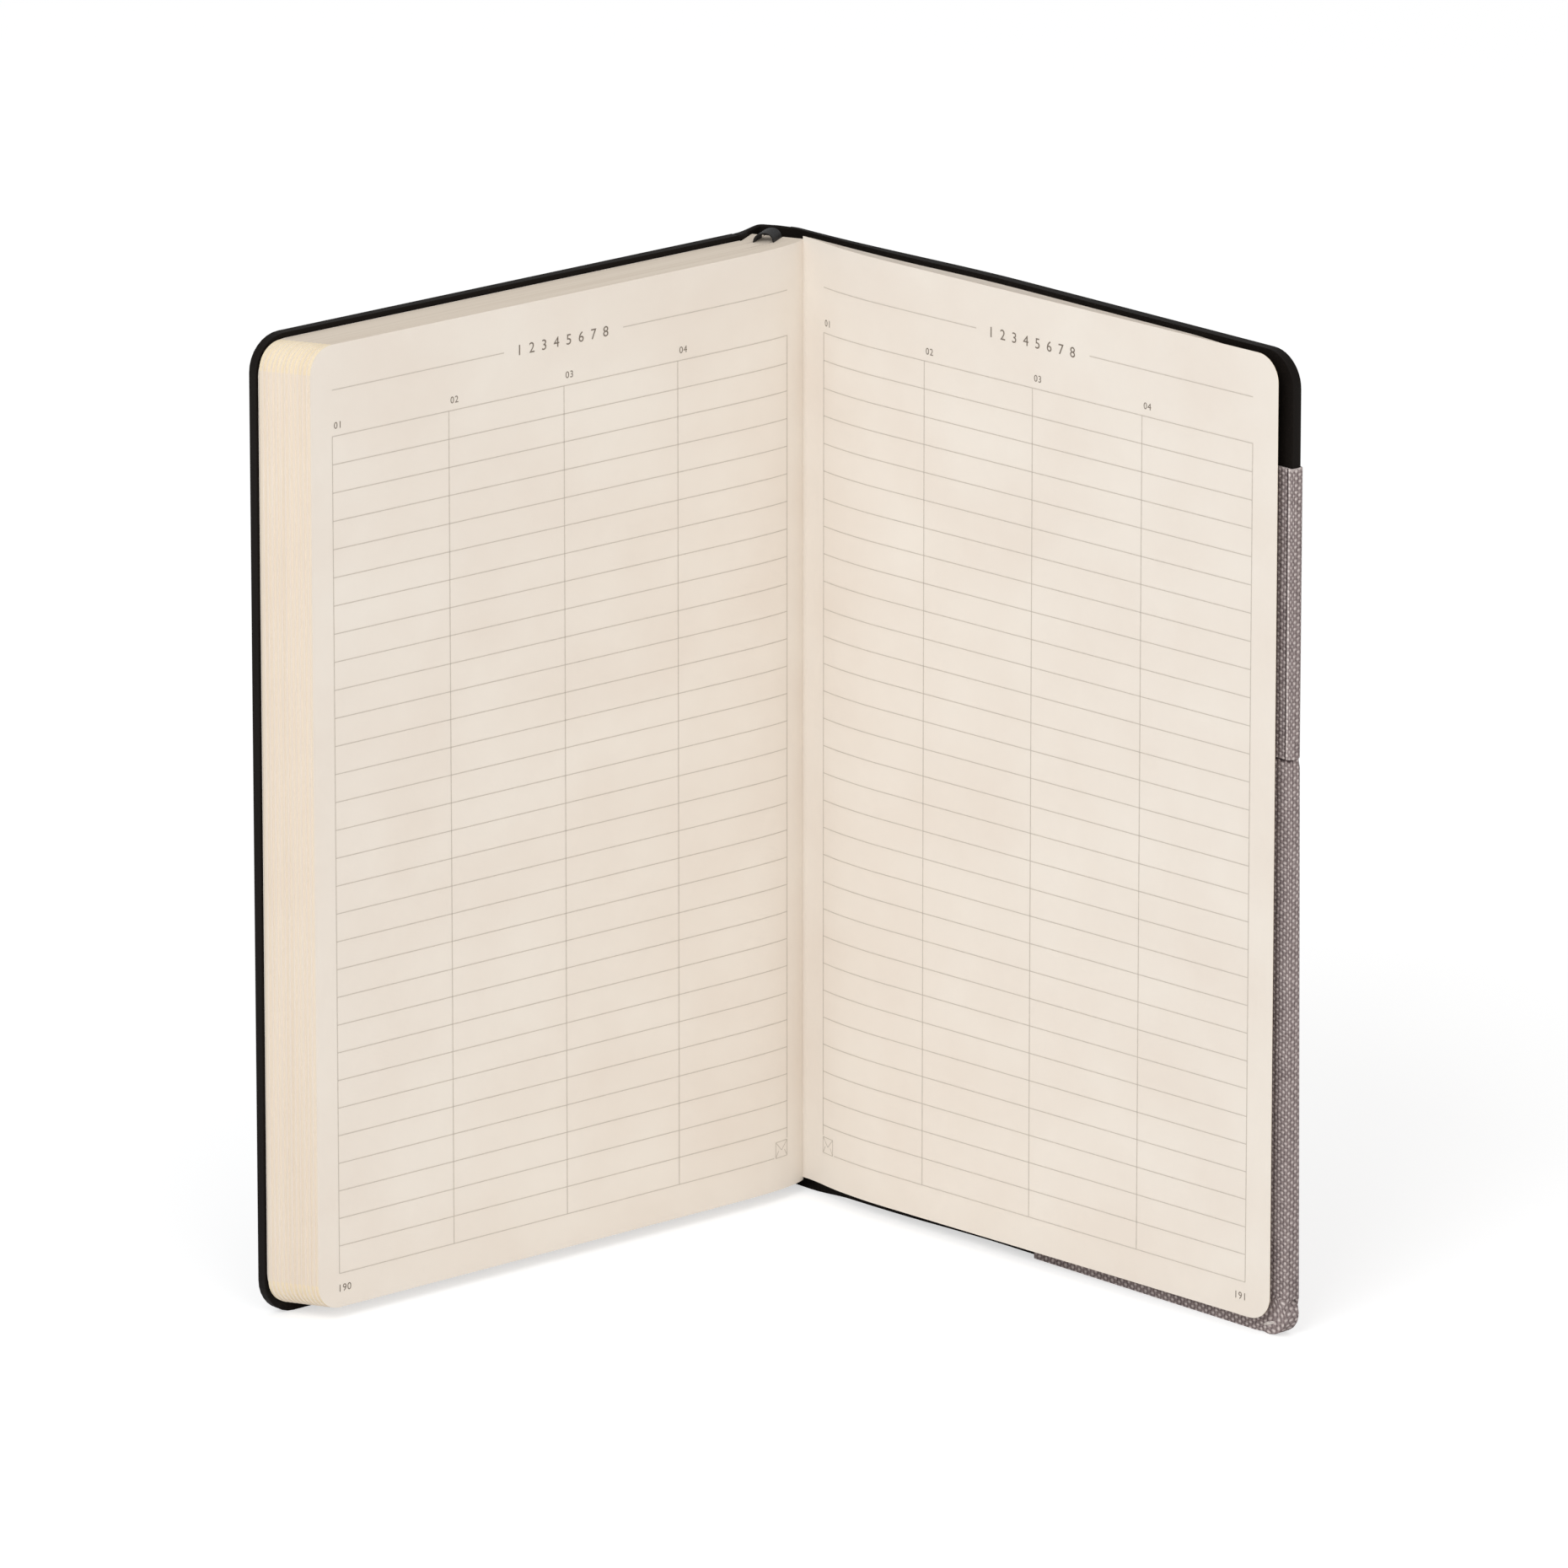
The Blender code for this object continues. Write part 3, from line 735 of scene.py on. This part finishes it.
def curve(corners, samples):
    # A smooth curve from the first guide point to the last, drawn towards those between.
    t = np.linspace(0.0, 1.0, samples)[:, None]
    while len(corners) > 1:
        corners = [a * (1 - t) + b * t for a, b in zip(corners[:-1], corners[1:])]
    return corners[0]


def roundEdges(piece, width, roundEnd):
    # Rounds a slab's long edges, along its four rows of points, and one end. The other end runs on
    # square into the next piece of skin.
    mesh = piece.data
    columns = len(mesh.vertices) // 4
    ends = np.empty(len(mesh.edges) * 2, np.int32)
    mesh.edges.foreach_get("vertices", ends)
    row, column = np.divmod(ends.reshape(-1, 2), columns)
    rounded = (row[:, 0] == row[:, 1]) | (column == roundEnd % columns).all(axis=1)
    weight = mesh.attributes.new("bevel_weight_edge", "FLOAT", "EDGE")
    weight.data.foreach_set("value", rounded.astype(np.float32))
    soften = piece.modifiers.new("roundEdges", "BEVEL")
    soften.width = width
    soften.segments = 2
    soften.limit_method = "WEIGHT"


def buildSpine():
    # From the front cover's near edge, through the groove and round the left bend, to the back joint.
    look, hingeAt = caseLook, book["frontHinge"]
    corner = np.array([book["spineLeft"], spinePlane])
    fromCorner = hingeAt - corner
    grooveEnd = corner + fromCorner / np.linalg.norm(fromCorner) * look["leftBend"]
    groove = curve([hingeAt, hingeAt - look["grooveEase"] * frontAlong,
                    grooveEnd + fromCorner * look["groovePull"], grooveEnd], 14)
    bend = curve([grooveEnd, corner, corner + [look["leftBend"], 0.0]], 10)[1:]
    bow = look["spineBow"] * (1 - np.linspace(-1.0, 1.0, 12) ** 2) ** 2
    flat = np.column_stack([np.linspace(bend[-1, 0], spineRight, 12), spinePlane + bow])[1:]
    path = np.concatenate([groove, bend, flat])
    lengths, _ = pathFrame(path)
    thicker = (book["coverThickness"] - look["spineThickness"]) * (1 - smooth(lengths / look["thinReach"]))
    piece = slabPiece("case_spine", path, -look["spineThickness"] - thicker, 0.0, 0.0, book["coverHeight"],
                      0.0, 0.0, [skin] * 4)
    roundEdges(piece, look["edgeRound"], 0)
    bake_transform(piece)
    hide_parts("spine_skin", "spine_card")


def buildBack():
    # From the spine strip round the right bend to the fore-edge: thin skin that thickens into the board.
    look = caseLook
    dense = np.linspace(bendU + look["rightBend"], look["denseTo"], 30)
    u = np.concatenate([dense, np.linspace(look["sparseFrom"], caseFar, 14)])
    cover = book["backHinge"] + u[:, None] * backAlong + coverOut(u)[:, None] * backOut
    bend = curve([bendAt - [look["rightBend"], 0.0], bendAt, cover[0]], 9)[:-1]
    path = np.concatenate([bend, cover])
    along = (path - book["backHinge"]) @ backAlong
    low = look["tailGap"] * smooth(along / look["tailReach"])
    piece = slabPiece("case_back", path, -coverThickness(along), 0.0, low, book["coverHeight"],
                      book["coverCorner"], 0.0, [skin] * 4)
    roundEdges(piece, look["edgeRound"], -1)
    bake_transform(piece)
    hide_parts("back_cover_skin", "back_board", "back_pastedown")


buildSpine()
buildBack()


def paint(name, material):
    mesh = nodes[name].data
    mesh.materials.clear()
    mesh.materials.append(material)


# Plain finishes: dark and light tone, scale of their clouds, roughness, scale and strength of the grain
plainLook = {
    "greyBoard": ((120, 112, 102), (150, 142, 130), 700.0, 0.9, 2500.0, 0.3),
    "bookCloth": ((206, 202, 194), (232, 228, 222), 1200.0, 0.9, 3500.0, 0.5),
    "endPaper": ((230, 218, 204), (240, 229, 216), 60.0, 0.88, 2600.0, 0.06),
    "sewingThread": ((220, 215, 206), (240, 236, 228), 3000.0, 0.8, 6000.0, 0.5),
    "seamThread": ((96, 88, 86), (140, 130, 128), 3000.0, 0.85, 6000.0, 0.5),
    # Paler than the canvas: a painted highlight on the corner pleat
    "pleatHighlightCanvas": ((188, 178, 174), (226, 218, 213), 2600.0, 0.9, 5000.0, 0.4),
}


def plainMaterial(name):
    dark, light, cloudScale, roughness, grainScale, strength = plainLook[name]
    material, tree, shader = newMaterial(name)
    place = node(tree, "ShaderNodeTexCoord").outputs["Object"]
    cloud = noise(tree, place, cloudScale, 4.0)
    tint(tree, shader, cloud, (0.3, linear(*dark)), (0.7, linear(*light)))
    shader.inputs["Roughness"].default_value = roughness
    bump(tree, shader, noise(tree, place, grainScale, 3.0), strength, 0.2 * mm)
    return material


plain = {name: plainMaterial(name) for name in plainLook}
paint("front_cover_skin", skin)
paint("front_board", plain["greyBoard"])
paint("spine_cloth", plain["bookCloth"])
paint("front_pastedown", plain["endPaper"])
paint("front_flyleaf", plain["endPaper"])
for number in range(1, book["threads"] + 1):
    paint(f"sewing_thread_{number}", plain["sewingThread"])
print("stage: case")

# Canvas pocket and band

canvasLook = {
    "warp": 0.84 * mm,
    "weft": 0.62 * mm,
    "dark": (70, 59, 59),
    "mid": (152, 138, 137),
    "light": (224, 213, 209),
    "shares": (0.2, 0.34, 0.18, 0.46),  # of slubs, fuzz, weft and warp in the tone
    "noises": ((300.0, 2.0), (3200.0, 3.0), (500.0, 2.0)),  # scale and detail of wobble, fuzz and slubs
    "wobble": 0.6,
    "fuzzHeight": 0.3,
    "finish": (0.95, 0.15),
    "relief": (0.8, 0.3 * mm),
    "roundEdge": 0.12 * mm,
    "roundFrom": math.radians(50),
    "sharpFrom": math.radians(40),
    "fullCorner": 4.2 * mm,
    "snugFrom": 98 * mm,
    "snugReach": 10 * mm,
    "cadGap": 0.1 * mm,
    "pocket": {"cad": 0.4 * mm, "gap": 0.02 * mm, "cloth": 0.24 * mm, "turn": 0.6 * mm, "ridge": 0.0,
               "corner": 7 * mm},
    "band": {"cad": 0.35 * mm, "gap": 0.27 * mm, "cloth": 0.22 * mm, "turn": 0.85 * mm, "ridge": 0.13 * mm,
             "corner": 0.0},
    # Paler along the cloth's folded top edge: its frayed pale threads, and a painted highlight on the fold
    "topEdgeHighlight": (0.5 * mm, 0.22),  # of this and the next four: half width, and how much paler
    # Painted highlight along the band's folded lower edge, above the painted shadow of its step
    "bandEdgeHighlight": (0.35 * mm, 0.12),
    # Painted shadow on the pocket just under the band's lower edge
    "bandStepShadow": (0.4 * mm, -0.4),
    # Painted shade in the groove of the seam line
    "seamGrooveShade": (0.22 * mm, -0.5),
    # Painted highlight on the ridge beside the seam, which also stands out in shape
    "ridge": (0.4 * mm, 0.16),
    # How far under the band's edge the painted shadow lies
    "bandStepShadowDrop": 0.25 * mm,
    # Where the painted shade of the seam's groove lies
    "seamDepth": 118 * mm,
    "ridgeDepth": 118.45 * mm,
    "looseReach": 2 * mm,
    "looseStart": 0.22,
    "pleat": ((113.8 * mm, 1.5 * mm), (116.6 * mm, 2.6 * mm)),
    "pleatWidth": 0.36 * mm,
    "cutDepths": (98, 100, 102, 104, 106, 108, 114.5, 115.9, 116.1, 116.3, 116.5, 116.8,
                  117.1, 117.4, 117.9, 118.2, 118.4, 118.55, 118.7),
    "cutOuts": (-0.3, -0.15, 0.0, 0.2, 0.58, 0.95, 1.15, 1.3, 1.45),
    "cutDrops": (0, 0.7, 1.4, 2, 30, 60, 85),
}


def canvasMaterial(name, stripes):
    # A plain weave: pale warp beads over darker weft, in a checkerboard of crossings. Each stripe paints
    # a highlight or shade along an edge, seam or step: its kind, axis and place, and if only inside.
    look = canvasLook
    material, tree, shader = newMaterial(name)
    sums = partial(maths, tree)
    place = placeOn(tree, "weavePlace")
    wobble, fuzz, slubs = (noise(tree, place, *settings) for settings in look["noises"])
    split = node(tree, "ShaderNodeSeparateXYZ")
    setInput(tree, split, 0, place)
    shift = sums("MULTIPLY_ADD", wobble, look["wobble"], -look["wobble"] / 2)
    u = sums("MULTIPLY_ADD", split.outputs[0], 1 / look["warp"], shift)
    v = sums("MULTIPLY_ADD", split.outputs[1], 1 / look["weft"], shift)

    def strand(across, along, phase):
        # Round across each strand, and up and down along it in turn with the next one.
        profile = sums("ABSOLUTE", sums("SINE", sums("MULTIPLY", across, math.pi)))
        which = sums("FLOOR", across)
        angle = sums("MULTIPLY", sums("ADD", sums("ADD", along, which), phase), math.pi)
        over = sums("MULTIPLY_ADD", sums("SINE", angle), 0.5, 0.5)
        return sums("MULTIPLY", sums("POWER", profile, 0.7), over)

    warp, weft = strand(u, v, 0.0), strand(v, u, 1.0)
    height = sums("MAXIMUM", warp, weft)
    tone = 0.0
    for part, share in zip((slubs, fuzz, weft, warp), look["shares"]):
        tone = sums("MULTIPLY_ADD", part, share, tone)
    inside = sums("LESS_THAN", split.outputs[2], 0.0)
    axes = {"z": split.outputs[1], "depth": sums("SUBTRACT", split.outputs[0], split.outputs[2])}
    # Each stripe lightens the tone as a painted highlight or darkens it as painted shade
    for kind, axis, middle, onlyInside in stripes:
        width, paler = look[kind]
        away = sums("ABSOLUTE", sums("SUBTRACT", axes[axis], middle))
        line = sums("MAXIMUM", sums("MULTIPLY_ADD", away, -1 / width, 1.0), 0.0)
        if onlyInside:
            line = sums("MULTIPLY", line, inside)
        tone = sums("MULTIPLY_ADD", line, paler, tone)
    tint(tree, shader, tone, (0.22, linear(*look["dark"])), (0.48, linear(*look["mid"])),
         (0.8, linear(*look["light"])))
    finish(shader, *look["finish"])
    bump(tree, shader, sums("MULTIPLY_ADD", fuzz, look["fuzzHeight"], height), *look["relief"])
    return material


bandLow, clothTop = (corner.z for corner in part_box("edge_band"))
# A painted highlight along the folded top edge, on pocket and band
topEdgeHighlight = ("topEdgeHighlight", "z", clothTop, False)
# The pocket also gets a painted shadow under the band's step, inside only
pocketCanvas = canvasMaterial("greyCanvas", [topEdgeHighlight, ("bandStepShadow", "z", bandLow - canvasLook["bandStepShadowDrop"], True)])
bandCanvas = canvasMaterial("greyCanvasBand", [
    # Painted highlight along the band's lower edge
    # Painted shade in the seam's groove, inside only
    topEdgeHighlight, ("bandEdgeHighlight", "z", bandLow, False), ("seamGrooveShade", "depth", canvasLook["seamDepth"], True),
    # Painted highlight on the ridge beside the seam, inside only
    ("ridge", "depth", canvasLook["ridgeDepth"], True)])


def squareCorner(depth, z, corner):
    # Swells the tail corner: cloth folded round it keeps it fuller than the board below.
    full = canvasLook["fullCorner"]
    centre = np.array([depth.max() - corner, z.min() + corner])
    reach = np.column_stack([depth - centre[0], centre[1] - z])
    inside = (reach > 0).all(axis=1)
    turn = np.arctan2(reach[:, 1], reach[:, 0])
    offset = corner - full
    facing = offset * (np.cos(turn) + np.sin(turn))
    outline = facing + np.sqrt(np.clip(facing ** 2 - 2 * offset ** 2 + full ** 2, 0.0, None))
    square = corner / np.maximum(np.cos(turn), np.sin(turn))
    swell = np.where(inside, np.minimum(outline, square) / corner, 1.0)
    return depth + reach[:, 0] * (swell - 1), z - reach[:, 1] * (swell - 1)


def snugCloth(depth, out, z, fit):
    # Presses the layers of a cloth solid onto the cover's fore-edge and rounds the fold's two turns. The
    # pocket loosens again below the band.
    look = canvasLook
    cad, gap, turn = fit["cad"], fit["gap"], fit["turn"]
    layer = gap + fit["cloth"]
    loose = look["looseStart"] * smooth((bandLow - z) / look["looseReach"])
    loose = loose + (1 - look["looseStart"]) * np.clip((bandLow - z) / bandLow, 0.0, 1.0)
    cadDepth, cadOut = depth, out
    coverIn, coverOuter = caseLook["coverOut"] - book["coverThickness"], caseLook["coverOut"]
    near = smooth((depth - look["snugFrom"]) / look["snugReach"])
    flat = np.interp(
        out, [out.min(), out.min() + cad, coverIn, coverOuter, out.max() - cad, out.max()],
        [coverIn - layer, coverIn - gap, coverIn, coverOuter, coverOuter + gap, coverOuter + layer])
    snugDepth = np.interp(
        depth, [look["snugFrom"], caseFar + caseLook["foreTrim"], depth.max() - cad, depth.max()],
        [look["snugFrom"], caseFar, caseFar + gap, caseFar + layer])
    depth = np.where(depth > look["snugFrom"], snugDepth, depth)
    out = out + near * (flat - out)
    ridge = np.clip(1 - np.abs(cadDepth - look["ridgeDepth"]) / look["ridge"][0], 0.0, 1.0)
    out = out - fit["ridge"] * ridge * (out < coverIn - gap - fit["cloth"] / 2)
    a = np.clip((depth - (caseFar + layer - turn)) / turn, 0.0, None)
    b = np.maximum((out - (coverOuter + layer - turn)) / turn, (coverIn - layer + turn - out) / turn)
    b = np.clip(b, 0.0, None)
    shrink = np.maximum(a, b) / np.maximum(np.hypot(a, b), 1e-9)
    shrink = np.where((a > 0) & (b > 0), shrink, 1.0)
    side = np.where(out > (coverIn + coverOuter) / 2, 1.0, -1.0)
    depth = depth + turn * a * (shrink - 1)
    out = out + side * turn * b * (shrink - 1)
    return depth + loose * (cadDepth - depth), out + loose * (cadOut - out)


def cutCloth(mesh):
    # Cuts a cloth across at every place where it is going to bend.
    onHinge = Vector((*book["backHinge"], 0.0))
    cuts = [((*backAlong, 0.0), u * mm) for u in canvasLook["cutDepths"]]
    cuts += [((*backOut, 0.0), u * mm) for u in canvasLook["cutOuts"]]
    cuts += [((0.0, 0.0, 1.0), bandLow - u * mm) for u in canvasLook["cutDrops"]]
    shape = bmesh.new()
    shape.from_mesh(mesh)
    for way, place in cuts:
        normal = Vector(way)
        bmesh.ops.bisect_plane(shape, geom=shape.verts[:] + shape.edges[:] + shape.faces[:], dist=1e-7,
                               plane_co=onHinge + normal * place, plane_no=normal)
    shape.to_mesh(mesh)
    shape.free()


def clothCopy(name, source, fit, material):
    # A softened, pressed copy of a CAD cloth solid, with its weave laid along the cover.
    corner = fit["corner"]
    mesh = nodes[source].data.copy()
    mesh.name = name
    piece = newObject(name, mesh)
    weld = piece.modifiers.new("weld", "WELD")
    weld.merge_threshold = 0.01 * mm
    soften = piece.modifiers.new("soften", "BEVEL")
    soften.width = canvasLook["roundEdge"]
    soften.segments = 3
    soften.limit_method = "ANGLE"
    soften.angle_limit = canvasLook["roundFrom"]
    made = finishedMesh(piece)
    piece.modifiers.clear()
    piece.data = made
    cutCloth(made)
    made.materials.clear()
    made.materials.append(material)
    points = meshPoints(made)
    fromHinge = points[:, :2] - book["backHinge"]
    out, depth, z = fromHinge @ backOut, fromHinge @ backAlong, points[:, 2]
    far = depth.max()
    angle = np.arctan2(corner - z, depth - (far - corner))
    tail = np.where(z < corner, np.clip(angle / (math.pi / 2), 0, 1), 0.0)
    tail = np.where((depth < far - corner) & (z < corner), 1.0, tail)
    setPlace(piece, np.column_stack([depth + out * (1 - tail), z - out * tail, out]), "weavePlace")
    if corner:
        depth, z = squareCorner(depth, z, corner)
    depth, out = snugCloth(depth, out, z, fit)
    plan = book["backHinge"] + depth[:, None] * backAlong + out[:, None] * backOut
    made.vertices.foreach_set("co", np.column_stack([plan, z]).astype(np.float32).ravel())
    made.update()
    made.shade_smooth()
    made.set_sharp_from_angle(angle=canvasLook["sharpFrom"])
    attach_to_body(piece, "back_cover")
    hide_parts(source)
    return piece


pocket = clothCopy("canvas_pocket", "pocket_canvas", canvasLook["pocket"], pocketCanvas)
band = clothCopy("canvas_band", "edge_band", canvasLook["band"], bandCanvas)


def roundBead(turns=12, rings=9):
    # A unit ball as rings of points from pole to pole, with its faces.
    around, fromPole = np.linspace(0, 2 * math.pi, turns + 1)[:-1], np.linspace(0, math.pi, rings)
    turn, rise = np.meshgrid(around, fromPole, indexing="ij")
    ball = np.stack([np.sin(rise) * np.cos(turn), np.sin(rise) * np.sin(turn), np.cos(rise)], axis=-1)
    i, j = (v.ravel() for v in np.meshgrid(np.arange(turns), np.arange(rings - 1), indexing="ij"))
    here, following = i * rings + j, (i + 1) % turns * rings + j
    return ball.reshape(-1, 3), np.column_stack([here, here + 1, following + 1, following])


def beadPiece(name, points, faces, material):
    # Beads as one piece, with the points at each pole joined into one.
    piece = meshPiece(name, points, faces, [material])
    shape = bmesh.new()
    shape.from_mesh(piece.data)
    bmesh.ops.remove_doubles(shape, verts=shape.verts, dist=1e-8)
    shape.to_mesh(piece.data)
    shape.free()
    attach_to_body(piece, "back_cover")
    return piece


# Directions of the back cover: along it, out of it and up
coverAxes = np.array([[*backAlong, 0.0], [*backOut, 0.0], [0.0, 0.0, 1.0]])

seamLook = {"stitchLength": 2.6 * mm, "stitchPitch": 4 * mm, "bandDrop": 0.66 * mm}


def roundStitches(name, source, drop):
    # Each stitch of a CAD row as a plump bead of thread, dropped onto the pressed cloth.
    local = meshPoints(nodes[source].data) @ coverAxes.T
    low, high = local.min(0), local.max(0)
    length, step = seamLook["stitchLength"], seamLook["stitchPitch"]
    count = round((high[2] - low[2] - length) / step) + 1
    size = [*(high - low)[:2], length]
    first = np.array([*(low + high)[:2] / 2, low[2] + length / 2]) - [0.0, drop, 0.0]
    ball, quads = roundBead()
    number = np.arange(count)[:, None, None]
    points = first + number * [0.0, 0.0, step] + ball * size / 2
    faces = quads + number * len(ball)
    piece = beadPiece(name, points.reshape(-1, 3) @ coverAxes, faces.reshape(-1, 4), plain["seamThread"])
    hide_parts(source)


def buildPleat():
    # The small pleat of the cloth at the tail corner: a slim spindle lying on the turn-in. Its pale colour
    # is a painted highlight.
    start, end = np.array(canvasLook["pleat"])
    middle, reach, width = (start + end) / 2, np.linalg.norm(end - start) / 2, canvasLook["pleatWidth"]
    along, up = (end - start) / 2 / reach
    out = caseLook["coverOut"] - book["coverThickness"] - canvasLook["cadGap"] - canvasLook["pocket"]["cad"]
    ball, quads = roundBead()
    laid = ball * [width, width, reach] @ np.array([[-up, 0.0, along], [0.0, 1.0, 0.0], [along, 0.0, up]])
    points = (laid + [middle[0], out, middle[1]]) @ coverAxes + [*book["backHinge"], 0.0]
    piece = beadPiece("corner_pleat", points, quads[:, ::-1], plain["pleatHighlightCanvas"])


roundStitches("pocket_seam", "pocket_stitches", 0.0)
roundStitches("band_seam", "band_stitches", seamLook["bandDrop"])
buildPleat()
print("stage: canvas")

# Ribbon bookmark over the head

ribbonLook = {
    "color": (14, 14, 15),
    "light": (27, 26, 27),
    "cloudScale": 1800.0,
    "finish": (0.5, 0.25),
    "sheen": 0.03,
    "ribScale": 900.0,
    "ribRelief": (0.3, 0.1 * mm),
    "near": 3.3 * mm,
    "width": 4 * mm,
    "skew": 1.2 * mm,
    "arch": 1.7 * mm,
    "thickness": 0.2 * mm,
    "gaps": (1, -3),
    "gluedDown": 20 * mm,
    "hangsTo": 12 * mm,
}


def ribbonMaterial():
    # Satin with fine ribs across.
    material, tree, shader = newMaterial("charcoalRibbon")
    place = placeOn(tree)
    rib = texture(tree, "Wave", "Fac", Vector=place, Scale=ribbonLook["ribScale"])
    cloud = noise(tree, place, ribbonLook["cloudScale"], 3.0)
    tint(tree, shader, cloud, (0.3, linear(*ribbonLook["color"])), (0.7, linear(*ribbonLook["light"])))
    finish(shader, *ribbonLook["finish"])
    setInput(tree, shader, "Sheen Weight", ribbonLook["sheen"])
    bump(tree, shader, rib, *ribbonLook["ribRelief"])
    return material


def buildRibbon():
    # A flat band up one gap between folds, over the head in a low arch, and down another gap.
    look, head = ribbonLook, book["pageHigh"]
    glued, hangs = (gap * pitch for gap in look["gaps"])
    centre, radius = (glued + hangs) / 2, (glued - hangs) / 2
    turn = np.linspace(0, math.pi, 24)
    arch = np.stack([centre + radius * np.cos(turn), head + look["arch"] * np.sin(turn)], axis=1)
    line = np.concatenate([[[glued, head - look["gluedDown"]]], arch, [[hangs, look["hangsTo"]]]])
    lengths, normals = pathFrame(line)
    half = look["thickness"] / 2
    skew = look["skew"] * smooth((glued - line[:, 0]) / (glued - hangs))
    rows = look["near"] + np.linspace(0.0, look["width"], 7)
    points, places = [], []
    for offset in (-half, half):
        face = line + normals * offset
        for row in rows:
            points.append(np.column_stack([face[:, 0], -row - skew, face[:, 1]]))
            places.append(np.column_stack([np.full(len(face), row), lengths, np.full(len(face), offset)]))
    grid = np.arange(2 * len(rows) * len(line)).reshape(2, len(rows), len(line))

    def skinOver(part, flip):
        corners = [part[:-1, :-1], part[1:, :-1], part[1:, 1:], part[:-1, 1:]]
        return np.column_stack([corner.ravel() for corner in corners[::-1 if flip else 1]])

    faces = [skinOver(grid[0], False), skinOver(grid[1], True)]
    faces += [skinOver(grid[:, 0], True), skinOver(grid[:, -1], False)]
    faces += [skinOver(grid[:, :, 0], False), skinOver(grid[:, :, -1], True)]
    piece = meshPiece("ribbon", np.concatenate(points), np.concatenate(faces), [ribbonMaterial()])
    setPlace(piece, np.concatenate(places))
    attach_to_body(piece, "spine")
    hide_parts("ribbon_bookmark")


buildRibbon()
print("stage: ribbon")

# Stage: floor, light and camera

stageLook = {
    "floorSize": 6.0,
    "floor": 0.94,
    "floorSeen": 0.56,
    "floorGlow": 0.59,
    "world": 0.62,
    "lightAim": (0.0, 0.0, 0.08),
    "keyLight": {"place": (-0.67, -1.4, 1.5), "size": 1.2, "power": 14.7, "color": (0.948, 0.976, 1.0)},
    "fillLight": {"place": (0.55, -1.7, 0.9), "size": 1.0, "power": 6.25, "color": (1.0, 0.957, 0.893)},
}
cameraLook = {
    "lens": 355.0,
    "sensor": 36.0,
    "farthest": 20.0,
    "place": (0.0001, -2.6816, 0.8785),
    "aim": (0.0001, -0.01734, 0.0812),
}


def aimed(name, data, place, target):
    thing = newObject(name, data)
    thing.location = fromView(*place)
    way = Vector(fromView(*target)) - thing.location
    thing.rotation_euler = way.to_track_quat("-Z", "Y").to_euler()
    return thing


def buildFloor():
    # A pale floor that glows only as the camera sees it: it looks white and keeps the shadow.
    mesh = bpy.data.meshes.new("floor")
    size = stageLook["floorSize"]
    corners = [(-size, -size, 0), (size, -size, 0), (size, size, 0), (-size, size, 0)]
    mesh.from_pydata(corners, [], [(0, 1, 2, 3)])
    floor = newObject("floor", mesh)
    material, tree, shader = newMaterial("paleFloor")
    finish(shader, 1.0, 0.0)
    seen = node(tree, "ShaderNodeLightPath").outputs["Is Camera Ray"]
    lessSeen = stageLook["floorSeen"] - stageLook["floor"]
    setInput(tree, shader, "Base Color", maths(tree, "MULTIPLY_ADD", seen, lessSeen, stageLook["floor"]))
    shader.inputs["Emission Color"].default_value = (1.0, 1.0, 1.0, 1.0)
    setInput(tree, shader, "Emission Strength", maths(tree, "MULTIPLY", seen, stageLook["floorGlow"]))
    mesh.materials.append(material)


def buildLights():
    world = bpy.data.worlds.new("studio")
    bpy.context.scene.world = world
    world.use_nodes = True
    background = world.node_tree.nodes["Background"]
    background.inputs["Color"].default_value = (1.0, 1.0, 1.0, 1.0)
    background.inputs["Strength"].default_value = stageLook["world"]
    for name in ("keyLight", "fillLight"):
        look = stageLook[name]
        light = bpy.data.lights.new(name, "AREA")
        light.shape = "DISK"
        light.size = look["size"]
        light.energy = look["power"]
        light.color = look["color"]
        aimed(name, light, look["place"], stageLook["lightAim"])


buildFloor()
buildLights()
lens = bpy.data.cameras.new("camera")
lens.lens = cameraLook["lens"]
lens.sensor_width = cameraLook["sensor"]
lens.clip_end = cameraLook["farthest"]
bpy.context.scene.camera = aimed("camera", lens, cameraLook["place"], cameraLook["aim"])
bpy.context.scene.view_settings.view_transform = "Standard"
print("stage: floor, light and camera")
